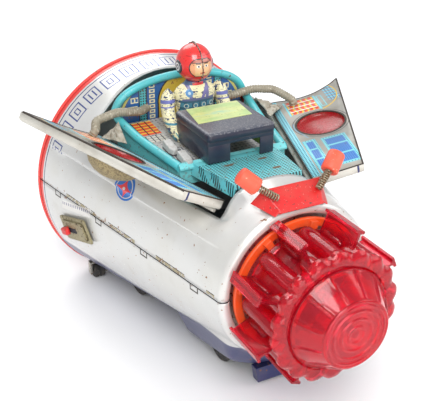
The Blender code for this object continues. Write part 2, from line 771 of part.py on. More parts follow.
def add_fin(bm, angle):
    """One T-shaped blade, rooted in the drum's wall."""
    outward = Vector((math.sin(angle), 0.0, math.cos(angle)))
    across = Vector((math.cos(angle), 0.0, -math.sin(angle)))
    base = Vector((0.0, FIN_REAR_Y - 0.4, AXIS_Z))
    shape = [(DRUM_R - 0.9, -0.9), (DRUM_R - 0.9, 0.9), (FIN_R - 1.6, 0.9), (FIN_R - 1.6, 2.6), (FIN_R, 2.6),
             (FIN_R, -2.6), (FIN_R - 1.6, -2.6), (FIN_R - 1.6, -0.9)]
    face = bm.faces.new([bm.verts.new(base + outward * r + across * w) for r, w in shape])
    made = bmesh.ops.extrude_face_region(bm, geom=[face])
    moved = [g for g in made["geom"] if isinstance(g, bmesh.types.BMVert)]
    bmesh.ops.translate(bm, verts=moved, vec=Vector((0.0, FIN_FRONT_Y - FIN_REAR_Y, 0.0)))


def make_rotor():
    nose = (0.0, 0.0, AXIS_Z)
    centre = (0.0, FIN_REAR_Y, AXIS_Z)
    depth = lambda y: FIN_REAR_Y - y
    profile = [(25.6, 0.0), (DRUM_R + 2.0, 0.0), (DRUM_R, 2.0), (DRUM_R, depth(DISC_Y)),
               (26.0, depth(DISC_Y)), (25.6, depth(-99.4)), (17.6, depth(-111.6)), (NOSE_R, depth(NOSE_Y)),
               (0.0, depth(NOSE_Y)), (0.0, depth(-111.0)), (14.6, depth(-111.0)), (23.6, depth(-98.4)),
               (25.6, depth(-93.0))]
    drum = add_object("rotor_drum", turned(profile, 40, centre, (0.0, -1.0, 0.0)), RED_PLASTIC, origin=nose)
    lobes = []
    for step in range(72):
        angle = math.tau * step / 72
        reach = DISC_R - 2.2 * abs(math.sin(9.0 * angle)) ** 1.5
        lobes.append(around_nose(angle, reach, DISC_Y + 0.7))
    disc = cutter("scalloped_disc", prism(lobes, (0.0, -3.9, 0.0)))
    bore = rod((0.0, DISC_Y + 3.0, AXIS_Z), (0.0, DISC_Y - 6.0, AXIS_Z), 25.2, 40)
    cut(disc, cutter("disc_bore_cutter", bore))
    cut(drum, disc, "UNION")
    fins = bmesh.new()
    for index in range(BLADES):
        add_fin(fins, math.tau * (index + 0.5) / BLADES)
    cut(drum, cutter("fins", fins), "UNION")
    ring = turned([(31.0, 0.0), (RING_R, 0.0), (RING_R, 2.0), (31.0, 2.0)], 40,
                  (0.0, RING_Y + 2.3, AXIS_Z), (0.0, -1.0, 0.0))
    add_object("rotor_ring", ring, ORANGE_PLASTIC, origin=nose)
    shaft = rod((0.0, -40.0, AXIS_Z), (0.0, -111.0 + GAP, AXIS_Z), 2.0)
    add_object("rotor_shaft", shaft, GREY_STEEL, origin=nose)


def make_bulkhead():
    profile = [(2.4, 0.0), (40.2, 0.0), (40.2, 1.2), (2.4, 1.2)]
    plate = turned(profile, 40, (0.0, -55.8, AXIS_Z), (0.0, -1.0, 0.0))
    add_object("front_bulkhead", plate, BARE_TIN)
    socket = tube((0.0, -57.0 - GAP, AXIS_Z + 12.0), (0.0, -70.0, AXIS_Z + 12.0), 5.6, 4.6)
    add_object("lamp_socket", socket, AGED_TIN)
    profile = [(0.0, 0.0), (4.3, 0.0), (4.3, 9.0), (5.4, 13.0), (5.0, 17.0), (2.8, 20.0), (0.0, 21.0)]
    add_object("lamp_bulb", turned(profile, 16, (0.0, -61.0, AXIS_Z + 12.0), (0.0, -1.0, 0.0)), GLASS)


# ---------------------------------------------------------------- running gear

def wheel_profile(radius, width):
    half = width / 2.0
    return [(AXLE_R + 0.3, -half), (radius - 1.2, -half), (radius, -half + 1.0), (radius, half - 1.0),
            (radius - 1.2, half), (AXLE_R + 0.3, half)]


def make_wheel(name, centre, radius, width, origin):
    bm = turned(wheel_profile(radius, width), 28, centre, (1.0, 0.0, 0.0))
    add_object(name, bm, BLACK, origin=origin)


def make_running_gear():
    axle = Vector((0.0, REAR_AXLE_Y, REAR_WHEEL_R))
    for side, prefix in ((-1, "right"), (1, "left")):
        centre = axle + Vector((side * REAR_WHEEL_X, 0.0, 0.0))
        make_wheel(f"rear_wheel_{prefix}", centre, REAR_WHEEL_R, 7.0, axle)
    reach = Vector((REAR_WHEEL_X + 4.4, 0.0, 0.0))
    add_object("rear_axle", rod(axle - reach, axle + reach, AXLE_R), GREY_STEEL, origin=axle)
    front = Vector((0.0, BOGIE_Y, FRONT_WHEEL_R))
    for side, prefix in ((-1, "right"), (1, "left")):
        centre = front + Vector((side * FRONT_WHEEL_X, 0.0, 0.0))
        make_wheel(f"front_wheel_{prefix}", centre, FRONT_WHEEL_R, 6.4, front)
    reach = Vector((FRONT_WHEEL_X + 4.0, 0.0, 0.0))
    add_object("front_axle", rod(front - reach, front + reach, AXLE_R), GREY_STEEL, origin=front)
    pivot = (0.0, BOGIE_Y, 0.0)
    shape = [(-10.6, 8.0), (-9.4, 8.0), (-9.4, 25.4), (9.4, 25.4), (9.4, 8.0), (10.6, 8.0)]
    shape += [(10.6, 26.6), (-10.6, 26.6)]
    bm = prism([(x, BOGIE_Y + 7.0, z) for x, z in shape], (0.0, -14.0, 0.0))
    frame = add_object("bogie_frame", bm, BARE_TIN, origin=pivot, smooth=False)
    hole = rod(front - reach, front + reach, AXLE_R + 0.3, 20)
    cut(frame, cutter("bogie_axle_cutter", hole))
    pin = rod((0.0, BOGIE_Y, 26.0), (0.0, BOGIE_Y, 30.0), 2.0)
    cut(frame, cutter("bogie_pivot", pin), "UNION")
    shape = [(-12.0, SKID_TOP_Z), (-10.5, 2.4), (10.5, 2.4), (12.0, SKID_TOP_Z)]
    skid = prism([(x, -43.0, z) for x, z in shape], (0.0, -5.0, 0.0))
    add_object("front_skid", skid, NAVY_TIN, smooth=False)


def make_rollers():
    for side, prefix in ((-1, "right"), (1, "left")):
        hub = Vector((side * ROLLER_X, ROLLER_Y, ROLLER_R))
        profile = [(0.0, -4.0), (ROLLER_R - 0.5, -4.0), (ROLLER_R, -3.4), (ROLLER_R, 3.4)]
        profile += [(ROLLER_R - 0.5, 4.0), (0.0, 4.0)]
        bm = turned(profile, 20, hub, (1.0, 0.0, 0.0))
        add_object(f"roller_{prefix}", bm, BLACK, origin=hub)
        shape = [(-5.6, 3.0), (-4.6, 3.0), (-4.6, 10.6), (4.6, 10.6), (4.6, 3.0), (5.6, 3.0)]
        shape += [(5.6, 11.6), (-5.6, 11.6)]
        bm = prism([(hub.x + x, ROLLER_Y + 2.0, z) for x, z in shape], (0.0, -4.0, 0.0))
        add_object(f"roller_bracket_{prefix}", bm, BARE_TIN, smooth=False)


def gear_outline(teeth, phase):
    """Straight-sided teeth with backlash, as points about the gear's centre."""
    pitch = teeth * GEAR_MODULE / 2.0
    points = []
    for tooth in range(teeth):
        for share, reach in ((-0.30, -1.25), (-0.17, 0.8), (0.17, 0.8), (0.30, -1.25)):
            angle = math.tau * (tooth + share) / teeth + phase
            radius = pitch + reach * GEAR_MODULE
            points.append(Vector((0.0, radius * math.cos(angle), radius * math.sin(angle))))
    return points


def make_drive():
    axle = Vector((0.0, REAR_AXLE_Y, REAR_WHEEL_R))
    spacing = (AXLE_TEETH + PINION_TEETH) * GEAR_MODULE / 2.0 + GEAR_PITCH_GAP
    lean = math.radians(50.0)
    motor = axle + Vector((0.0, spacing * math.cos(lean), spacing * math.sin(lean)))
    for name, centre, teeth, phase in (
        ("axle_gear", axle, AXLE_TEETH, lean),
        ("motor_pinion", motor, PINION_TEETH, lean + math.pi + math.pi / PINION_TEETH),
    ):
        face_centre = Vector((GEAR_X - 2.0, centre.y, centre.z))
        outline = [face_centre + point for point in gear_outline(teeth, phase)]
        gear = add_object(name, prism(outline, (4.0, 0.0, 0.0)), AGED_TIN, origin=centre, smooth=False)
        if name == "axle_gear":
            hole = rod((GEAR_X - 5.0, centre.y, centre.z), (GEAR_X + 5.0, centre.y, centre.z),
                       AXLE_R + 0.3, 20)
            cut(gear, cutter("gear_bore_cutter", hole))
        else:
            shaft = rod((-1.0, centre.y, centre.z), (GEAR_X + 3.0, centre.y, centre.z), 0.9, 12)
            cut(gear, cutter("motor_shaft", shaft), "UNION")
    profile = [(1.5, 0.0), (9.8, 0.0), (9.8, 22.0), (1.5, 22.0)]
    case = turned(profile, 24, (4.0, motor.y, motor.z), (-1.0, 0.0, 0.0))
    add_object("motor", case, GREY_STEEL)


def make_batteries():
    for number, y in enumerate(CELL_YS, start=1):
        half = CELL_LENGTH / 2.0
        start = (-half, y, CELL_Z)
        profile = [(0.0, 0.0), (CELL_R - 0.6, 0.0), (CELL_R - 0.6, CELL_LENGTH - 2.0)]
        profile += [(5.0, CELL_LENGTH - 2.0), (5.0, CELL_LENGTH), (0.0, CELL_LENGTH)]
        add_object(f"d_cell_{number}", turned(profile, 24, start, (1.0, 0.0, 0.0)), GREY_STEEL)
    low = (-33.0, CELL_YS[0] - CELL_R - 1.0, 34.5)
    high = (33.0, CELL_YS[1] + CELL_R + 0.6, 50.0)
    bm = block(low, high)
    bottom = min(bm.faces, key=lambda f: f.calc_center_median().z)
    bmesh.ops.inset_region(bm, faces=[bottom], thickness=1.0, use_even_offset=True)
    top = max(bm.faces, key=lambda f: f.calc_center_median().z)
    bmesh.ops.inset_region(bm, faces=[top], thickness=1.0, use_even_offset=True)
    bmesh.ops.delete(bm, geom=[bottom, top], context="FACES_ONLY")
    inner = [e for e in bm.edges if len(e.link_faces) == 1]
    bmesh.ops.bridge_loops(bm, edges=inner)
    add_object("battery_box", bm, BARE_TIN, smooth=False)


# ---------------------------------------------------------------- switch

SWITCH_CENTRE = Vector((-65.6, 66.8, 53.5))
SWITCH_TILT = 15.0


def switch_frame():
    """Outward, long and short directions of the tilted switch plate."""
    y = SWITCH_CENTRE.y
    centre = Vector((0.0, y, body_centre_z(y)))
    outward = SWITCH_CENTRE - centre
    outward.y = -outward.length * (FRONT_R - REAR_R) / (FRONT_Y - REAR_Y)
    outward.normalize()
    long_way = Vector((0.0, -math.cos(math.radians(SWITCH_TILT)), math.sin(math.radians(SWITCH_TILT))))
    long_way = (long_way - outward * long_way.dot(outward)).normalized()
    return outward, long_way, outward.cross(long_way).normalized()


def make_switch(lower_shell):
    outward, long_way, short_way = switch_frame()
    y = SWITCH_CENTRE.y
    axis_point = Vector((0.0, y, body_centre_z(y)))
    foot = axis_point + (SWITCH_CENTRE - axis_point).normalized() * (body_radius(y) + 1.4)
    corners = [(-16.5, -8.5), (16.5, -8.5), (16.5, 8.5), (-16.5, 8.5)]
    outline = [foot + long_way * a + short_way * b for a, b in corners]
    plate = add_object("switch_plate", prism(outline, outward * 1.0), AGED_TIN, smooth=False)
    slot = [foot + long_way * a + short_way * b - outward * 6.0
            for a, b in ((-12.5, -1.6), (4.5, -1.6), (4.5, 1.6), (-12.5, 1.6))]
    tool = cutter("switch_slot_cutter", prism(slot, outward * 12.0))
    cut(plate, tool)
    cut(lower_shell, tool)
    spot = foot - long_way * 6.5
    top = 1.0 + GAP
    shape = [(-1.2, -3.5), (1.2, -3.5), (1.2, top), (3.4, top)]
    shape += [(2.8, 5.6), (-2.8, 5.6), (-3.4, top), (-1.2, top)]
    outline = [spot + long_way * a + outward * h - short_way * 1.1 for a, h in shape]
    add_object("switch_lever", prism(outline, short_way * 2.2), RED_TIN, origin=spot, smooth=False)


def main():
    clear_scene()
    make_upper_shell()
    lower = make_lower_shell()
    make_battery_door()
    make_rear_end()
    for side, prefix in ((-1, "right"), (1, "left")):
        make_door(side, prefix)
        make_hose(side, prefix)
        make_gusset(side, prefix)
        make_antenna(side, prefix)
    make_tray()
    make_seat_back()
    make_console()
    make_astronaut()
    make_lift()
    make_antenna_bracket()
    make_rotor()
    make_bulkhead()
    make_running_gear()
    make_rollers()
    make_drive()
    make_batteries()
    make_switch(lower)


main()
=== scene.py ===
import math

import bmesh
import bpy
from mathutils import Matrix, Vector, noise


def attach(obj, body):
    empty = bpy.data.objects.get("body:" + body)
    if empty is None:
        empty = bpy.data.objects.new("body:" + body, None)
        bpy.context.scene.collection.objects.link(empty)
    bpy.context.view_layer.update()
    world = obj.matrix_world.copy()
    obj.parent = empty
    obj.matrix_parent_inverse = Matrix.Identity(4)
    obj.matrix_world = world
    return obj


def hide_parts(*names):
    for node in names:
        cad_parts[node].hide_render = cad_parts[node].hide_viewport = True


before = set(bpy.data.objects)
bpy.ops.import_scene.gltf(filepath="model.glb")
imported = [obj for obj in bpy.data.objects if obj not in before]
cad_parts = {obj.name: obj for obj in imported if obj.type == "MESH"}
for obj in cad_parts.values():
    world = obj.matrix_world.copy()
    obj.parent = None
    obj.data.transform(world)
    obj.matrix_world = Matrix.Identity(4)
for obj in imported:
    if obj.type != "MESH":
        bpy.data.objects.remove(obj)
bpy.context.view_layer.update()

MM = 0.001
SHIFT_X = -2.26
TO_ROW = Matrix.Translation((SHIFT_X * MM, 0.0, 0.0)) @ Matrix.Scale(MM, 4)

# Body section, as in the frame.
REAR_Y = 108.0
FRONT_Y = -60.75
REAR_R = 75.0
FRONT_R = 42.0
REAR_Z = 64.0
AXIS_Z = 70.2
BELLY_Z = 7.0
POD_DEPTH = 12.0
CREASE_Z = 92.5
COLLAR_R = 3.2
OPENING_REAR_Y = 85.5
OPENING_LEAN = 24.5
LEAN_END_Y = 42.0
OPENING_FRONT_Y = -37.5
HINGE_REAR = Vector((61.4, 78.0, 109.3))
HINGE_FRONT = Vector((27.2, -34.5, 102.9))
DOOR_THICK = 5.2
DOOR_OPEN = {-1: 28.2, 1: 12.0}
SIDES = ((-1, "right"), (1, "left"))

WHITE = (0.64, 0.64, 0.62)
CREAM_WHITE = (0.58, 0.55, 0.47)
NAVY = (0.022, 0.028, 0.115)
DEEP_NAVY = (0.010, 0.014, 0.035)
CYAN = (0.07, 0.50, 0.54)
PALE_CYAN = (0.22, 0.62, 0.68)
RED = (0.72, 0.015, 0.02)
RIM_RED = (0.80, 0.06, 0.05)
YELLOW = (0.85, 0.55, 0.05)
MUSTARD = (0.62, 0.45, 0.05)
CREAM = (0.82, 0.77, 0.47)
RUST = (0.22, 0.10, 0.04)
TAN = (0.40, 0.34, 0.20)
INK = (0.02, 0.02, 0.03)
SKIN = (0.74, 0.44, 0.22)
EDGE_WEAR = 0.07

SHELL_WALL = 0.9
PRINT_R = 72.0
REAR_WHEEL_R = 15.0
REAR_WHEEL_X = 28.4
REAR_WHEEL_WIDTH = 7.0
REAR_AXLE_Y = 66.0
FRONT_WHEEL_R = 13.0
FRONT_WHEEL_X = 15.0
FRONT_WHEEL_WIDTH = 6.4
FRONT_AXLE_Y = -17.0
ROLLER_X = 46.0
ROLLER_Y = 96.0
ROLLER_Z = 4.6
PILOT_Y = 46.5
HELMET_Z = 149.4
HELMET_R = 10.6
HOSE_R = 2.3
HOSE_RIB = 0.16
HOSE_RIB_PITCH = 1.5
GUSSET_THICK = 0.35
COIL_R = 1.4
COIL_WIRE = 0.45
COIL_TURNS = 9.5
BLADES = 8
CAMERA_LENS = 71.86
CAMERA_HEIGHT = 0.2895
CAMERA_DOWN = 26.57
CAMERA_TURN = 27.37
WORLD_STRENGTH = 0.52


# ------------------------------------------------------------ materials

class Look:
    """One procedural material, painted layer by layer from masks."""

    def __init__(self, name, colour, roughness=0.4, metallic=0.0):
        self.material = bpy.data.materials.new(name)
        self.material.use_nodes = True
        self.nodes = self.material.node_tree.nodes
        self.links = self.material.node_tree.links
        self.shader = self.nodes["Principled BSDF"]
        coordinates = self.nodes.new("ShaderNodeTexCoord")
        self.place = self.vector("MULTIPLY", coordinates.outputs["Object"], (1000.0, 1000.0, 1000.0))
        self.x, self.y, self.z = self.split(self.place)
        self.colour = (*colour, 1.0)
        self.roughness = roughness
        self.metallic = metallic
        self.height = None

    def put(self, socket, value):
        if isinstance(value, bpy.types.NodeSocket):
            self.links.new(value, socket)
        else:
            socket.default_value = value

    def vector(self, operation, first, second):
        node = self.nodes.new("ShaderNodeVectorMath")
        node.operation = operation
        self.put(node.inputs[0], first)
        self.put(node.inputs[1], second)
        return node.outputs[0]

    def split(self, vector):
        node = self.nodes.new("ShaderNodeSeparateXYZ")
        self.put(node.inputs[0], vector)
        return node.outputs[0], node.outputs[1], node.outputs[2]

    def math(self, operation, *values):
        node = self.nodes.new("ShaderNodeMath")
        node.operation = operation
        for socket, value in zip(node.inputs, values):
            self.put(socket, value)
        return node.outputs[0]

    def plus(self, first, second):
        return self.math("ADD", first, second)

    def minus(self, first, second):
        return self.math("SUBTRACT", first, second)

    def times(self, first, second):
        return self.math("MULTIPLY", first, second)

    def uv(self):
        node = self.nodes.new("ShaderNodeUVMap")
        node.uv_map = "print"
        u, v, _ = self.split(node.outputs[0])
        return u, v

    def noise(self, size, detail=3.0, vector=None, seed=0.0, stretch=(1.0, 1.0, 1.0)):
        """Noise from 0 to 1 whose features are about size mm across."""
        node = self.nodes.new("ShaderNodeTexNoise")
        base = self.place if vector is None else vector
        moved = self.vector("MULTIPLY_ADD", base, stretch)
        self.put(moved.node.inputs[2], (seed, seed * 1.7, seed * 0.6))
        self.put(node.inputs["Vector"], moved)
        node.inputs["Scale"].default_value = 1.0 / size
        node.inputs["Detail"].default_value = detail
        return node.outputs[0]

    def ramp(self, value, low, high):
        node = self.nodes.new("ShaderNodeMapRange")
        node.interpolation_type = "SMOOTHSTEP"
        self.put(node.inputs["Value"], value)
        node.inputs["From Min"].default_value = low
        node.inputs["From Max"].default_value = high
        return node.outputs[0]

    def both(self, *masks):
        result = masks[0]
        for mask in masks[1:]:
            result = self.times(result, mask)
        return result

    def either(self, *masks):
        result = masks[0]
        for mask in masks[1:]:
            result = self.math("MAXIMUM", result, mask)
        return result

    def outside(self, mask):
        return self.minus(1.0, mask)

    def over(self, value, limit):
        return self.math("GREATER_THAN", value, limit)

    def under(self, value, limit):
        return self.math("LESS_THAN", value, limit)

    def near(self, value, centre, half):
        return self.math("COMPARE", value, centre, half)

    def box(self, u, v, low_u, high_u, low_v, high_v):
        return self.both(self.near(u, (low_u + high_u) / 2, (high_u - low_u) / 2),
                         self.near(v, (low_v + high_v) / 2, (high_v - low_v) / 2))

    def frame(self, u, v, low_u, high_u, low_v, high_v, line):
        inner = self.box(u, v, low_u + line, high_u - line, low_v + line, high_v - line)
        return self.both(self.box(u, v, low_u, high_u, low_v, high_v), self.outside(inner))

    def reach(self, u, v, centre_u, centre_v, aspect=1.0):
        du = self.minus(u, centre_u)
        dv = self.times(self.minus(v, centre_v), aspect)
        return self.math("SQRT", self.plus(self.math("POWER", du, 2.0), self.math("POWER", dv, 2.0)))

    def disc(self, u, v, centre_u, centre_v, radius, aspect=1.0):
        return self.under(self.reach(u, v, centre_u, centre_v, aspect), radius)

    def circle(self, u, v, centre_u, centre_v, radius, line, aspect=1.0):
        return self.near(self.reach(u, v, centre_u, centre_v, aspect), radius, line / 2)

    def repeat(self, value, pitch):
        """Distance from the middle of each cell of a row of cells."""
        share = self.math("FRACT", self.math("DIVIDE", value, pitch))
        return self.times(self.minus(share, 0.5), pitch)

    def dots(self, u, v, pitch, radius):
        return self.disc(self.repeat(u, pitch), self.repeat(v, pitch), 0.0, 0.0, radius)

    def blend(self, kind, mask, first, second):
        node = self.nodes.new("ShaderNodeMix")
        node.data_type = kind
        self.put(node.inputs["Factor"] if kind == "FLOAT" else node.inputs[0], mask)
        pair = (2, 3) if kind == "FLOAT" else (6, 7)
        self.put(node.inputs[pair[0]], first)
        self.put(node.inputs[pair[1]], second)
        return node.outputs[0 if kind == "FLOAT" else 2]

    def paint(self, mask, colour, roughness=None, metallic=None):
        colour = (*colour, 1.0) if not isinstance(colour, bpy.types.NodeSocket) else colour
        self.colour = self.blend("RGBA", mask, self.colour, colour)
        if roughness is not None:
            self.roughness = self.blend("FLOAT", mask, self.roughness, roughness)
        if metallic is not None:
            self.metallic = self.blend("FLOAT", mask, self.metallic, metallic)
        return self

    def vary(self, size, amount, seed=3.0):
        """Uneven colour: a soft darkening in patches and an uneven sheen."""
        patches = self.ramp(self.noise(size, 4.0, seed=seed), 0.35, 0.75)
        self.colour = self.blend("RGBA", self.times(patches, amount), self.colour, (0.20, 0.16, 0.10, 1.0))
        sheen = self.times(self.noise(size * 0.4, 3.0, seed=seed + 5), 0.18)
        self.roughness = self.plus(self.roughness, sheen)
        return self

    def chips(self, share=0.62, size=3.0, seed=1.0, colour=RUST, near=None):
        """Paint chips and rust pin-pricks, more of them where near is high."""
        raw = self.noise(size, 6.0, seed=seed)
        if near is not None:
            raw = self.plus(raw, self.times(near, EDGE_WEAR))
        mask = self.ramp(raw, share, share + 0.02)
        return self.paint(mask, colour, 0.7)

    def edges(self):
        """High on convex edges of the mesh."""
        node = self.nodes.new("ShaderNodeNewGeometry")
        return self.ramp(node.outputs["Pointiness"], 0.54, 0.70)

    def scratches(self, colour, seed=9.0, share=0.70, stretch=(1.0, 0.08, 1.0), size=1.2):
        mask = self.ramp(self.noise(size, 5.0, seed=seed, stretch=stretch), share, share + 0.04)
        return self.paint(mask, colour, 0.55)

    def bump(self, size=0.6, strength=0.15, depth=0.05, height=None):
        node = self.nodes.new("ShaderNodeBump")
        node.inputs["Strength"].default_value = strength
        node.inputs["Distance"].default_value = depth * MM
        self.put(node.inputs["Height"], self.noise(size, 3.0, seed=12.0) if height is None else height)
        if self.height is not None:
            self.links.new(self.height, node.inputs["Normal"])
        self.height = node.outputs[0]
        return self

    def done(self, **extra):
        self.put(self.shader.inputs["Base Color"], self.colour)
        self.put(self.shader.inputs["Roughness"], self.roughness)
        self.put(self.shader.inputs["Metallic"], self.metallic)
        if self.height is not None:
            self.links.new(self.height, self.shader.inputs["Normal"])
        for label, value in extra.items():
            self.shader.inputs[label.replace("_", " ")].default_value = value
        return self.material


# ------------------------------------------------------------ mesh helpers

def finish_piece(name, bm, material, body, replaces=(), angle=35.0, merge=True):
    """Turn a mesh drawn in millimetres into a piece that rides on a body."""
    if merge:
        bmesh.ops.remove_doubles(bm, verts=bm.verts, dist=1e-4)
    bmesh.ops.recalc_face_normals(bm, faces=bm.faces)
    bmesh.ops.transform(bm, matrix=TO_ROW, verts=bm.verts)
    mesh = bpy.data.meshes.new(name)
    bm.to_mesh(mesh)
    bm.free()
    mesh.shade_smooth()
    mesh.set_sharp_from_angle(angle=math.radians(angle))
    obj = bpy.data.objects.new(name, mesh)
    bpy.context.scene.collection.objects.link(obj)
    mesh.materials.append(material)
    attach(obj, body)
    if replaces:
        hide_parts(*replaces)
    return obj


def wall(obj, thickness, offset=-1.0):
    modifier = obj.modifiers.new("wall", "SOLIDIFY")
    modifier.thickness = thickness * MM
    modifier.offset = offset
    modifier.use_even_offset = True
    return obj


def soften(obj, width, segments=2, angle=40.0):
    modifier = obj.modifiers.new("soft_edges", "BEVEL")
    modifier.width = width * MM
    modifier.segments = segments
    modifier.limit_method = "ANGLE"
    modifier.angle_limit = math.radians(angle)
    modifier.harden_normals = False
    return obj


def ring_edges(bm, points):
    verts = [bm.verts.new(p) for p in points]
    edges = [bm.edges.new((verts[i - 1], verts[i])) for i in range(len(verts))]
    return verts, edges


def loft(loops, caps=True, bm=None):
    bm = bm or bmesh.new()
    rings = [ring_edges(bm, points) for points in loops]
    for (_, first), (_, second) in zip(rings, rings[1:]):
        bmesh.ops.bridge_loops(bm, edges=first + second)
    if caps:
        bm.faces.new(rings[0][0])
        bm.faces.new(rings[-1][0])
    return bm


def closed_loft(loops):
    """Loops bridged one to the next and the last back to the first."""
    bm = bmesh.new()
    rings = [ring_edges(bm, points) for points in loops]
    for (_, first), (_, second) in zip(rings, rings[1:] + rings[:1]):
        bmesh.ops.bridge_loops(bm, edges=first + second)
    return bm


def prism(outline, depth, bm=None):
    bm = bm or bmesh.new()
    face = bm.faces.new([bm.verts.new(p) for p in outline])
    made = bmesh.ops.extrude_face_region(bm, geom=[face])
    moved = [g for g in made["geom"] if isinstance(g, bmesh.types.BMVert)]
    bmesh.ops.translate(bm, verts=moved, vec=Vector(depth))
    return bm


def block(low, high, bevel=0.0, bm=None, segments=2):
    bm = bm or bmesh.new()
    low = Vector(low)
    size = Vector(high) - low
    made = bmesh.ops.create_cube(bm, size=1.0)["verts"]
    for vert in made:
        vert.co = low + Vector(((vert.co[i] + 0.5) * size[i] for i in range(3)))
    if bevel:
        edges = list({e for v in made for e in v.link_edges})
        bmesh.ops.bevel(bm, geom=edges, offset=bevel, segments=segments, profile=0.5, affect="EDGES",
                        material=-1)
    return bm


def turned(profile, steps, centre, axis, bm=None):
    """Spin a closed profile of (radius, height) points about an axis through centre."""
    part = bmesh.new()
    _, edges = ring_edges(part, [(r, 0.0, h) for r, h in profile])
    bmesh.ops.spin(part, geom=part.verts[:] + edges, angle=math.tau, steps=steps, axis=(0.0, 0.0, 1.0),
                   cent=(0.0, 0.0, 0.0), use_merge=True)
    bmesh.ops.remove_doubles(part, verts=part.verts, dist=1e-4)
    loose = [e for e in part.edges if not e.link_faces]
    bmesh.ops.delete(part, geom=loose, context="EDGES")
    turn = Vector((0.0, 0.0, 1.0)).rotation_difference(Vector(axis)).to_matrix().to_4x4()
    bmesh.ops.transform(part, matrix=Matrix.Translation(Vector(centre)) @ turn, verts=part.verts)
    bmesh.ops.recalc_face_normals(part, faces=part.faces)
    if bm is None:
        return part
    return gather(part, bm)


def gather(part, bm):
    """Add one mesh to another and drop it."""
    mesh = bpy.data.meshes.new("part")
    part.to_mesh(mesh)
    part.free()
    bm.from_mesh(mesh)
    bpy.data.meshes.remove(mesh)
    return bm


def smooth_path(points, per_span=8, closed=False):
    """Catmull-Rom points through a short list of route points."""
    pts = [Vector(p) for p in points]
    ends = [pts[-1]] if closed else [pts[0] * 2 - pts[1]]
    tail = pts[:2] if closed else [pts[-1] * 2 - pts[-2]]
    pts = ends + pts + tail
    out = []
    for i in range(1, len(pts) - 2):
        a, b, c, d = pts[i - 1:i + 3]
        for k in range(per_span):
            t = k / per_span
            out.append(0.5 * ((2 * b) + (c - a) * t + (2 * a - 5 * b + 4 * c - d) * t * t
                              + (3 * b - a - 3 * c + d) * t ** 3))
    if not closed:
        out.append(pts[-2])
    return out


def sweep(path, radius, sides=16, bm=None, flat=1.0):
    """A round bar along a path. radius is a number or a function of the share and the length along it."""
    bm = bm or bmesh.new()
    path = [Vector(p) for p in path]
    up = Vector((0.0, 0.0, 1.0))
    lengths = [0.0]
    for a, b in zip(path, path[1:]):
        lengths.append(lengths[-1] + (b - a).length)
    loops = []
    side = None
    for index, point in enumerate(path):
        before = path[max(0, index - 1)]
        after = path[min(len(path) - 1, index + 1)]
        heading = (after - before).normalized()
        side = heading.cross(up) if side is None else side - heading * side.dot(heading)
        side = side.normalized()
        other = side.cross(heading)
        share = lengths[index] / lengths[-1]
        r = radius(share, lengths[index]) if callable(radius) else radius
        turns = [math.tau * i / sides for i in range(sides)]
        loops.append([point + side * r * math.cos(turn) + other * r * flat * math.sin(turn)
                      for turn in turns])
    return loft(loops, bm=bm)


def coil(start, end, radius, wire, turns, sides=8, steps=14):
    """A helical wire from start to end."""
    start, end = Vector(start), Vector(end)
    axis = (end - start).normalized()
    side = axis.orthogonal().normalized()
    other = axis.cross(side)
    path = []
    count = int(turns * steps)
    for i in range(count + 1):
        angle = math.tau * turns * i / count
        path.append(start.lerp(end, i / count) + (side * math.cos(angle) + other * math.sin(angle)) * radius)
    return sweep(path, wire, sides)


def smooth_step(value):
    value = min(1.0, max(0.0, value))
    return value * value * (3.0 - 2.0 * value)


def corner_arcs(low_x, high_x, low_y, high_y, corner):
    """Points round a rectangle with rounded corners, five to a corner."""
    points = []
    for x, y, start in ((high_x - corner, high_y - corner, 0), (low_x + corner, high_y - corner, 90),
                        (low_x + corner, low_y + corner, 180), (high_x - corner, low_y + corner, 270)):
        for k in range(5):
            angle = math.radians(start + 22.5 * k)
            points.append((x + corner * math.cos(angle), y + corner * math.sin(angle)))
    return points


def set_uv(bm, function):
    """Write the print layer: function(point) gives (u, v) in mm."""
    layer = bm.loops.layers.uv.get("print") or bm.loops.layers.uv.new("print")
    for face in bm.faces:
        for loop in face.loops:
            loop[layer].uv = function(loop.vert.co)


# ------------------------------------------------------------ body section

def body_share(y):
    return (REAR_Y - y) / (REAR_Y - FRONT_Y)


def body_radius(y):
    return REAR_R + (FRONT_R - REAR_R) * body_share(y)


def body_centre_z(y):
    return REAR_Z + (AXIS_Z - REAR_Z) * body_share(y)


def lip_point(y):
    share = (HINGE_REAR.y - y) / (HINGE_REAR.y - HINGE_FRONT.y)
    point = HINGE_REAR.lerp(HINGE_FRONT, share)
    lip = Vector((point.x + 1.6, point.z - 3.4))
    radius = body_radius(y)
    centre = body_centre_z(y)
    angle = math.atan2(lip.x, lip.y - centre)
    on_circle = Vector((radius * math.sin(angle), centre + radius * math.cos(angle)))
    rear = smooth_step((OPENING_REAR_Y + 2.0 - y) / 24.0)
    front = smooth_step((y - OPENING_FRONT_Y + 14.0) / 16.0)
    return on_circle.lerp(lip, min(rear, front))


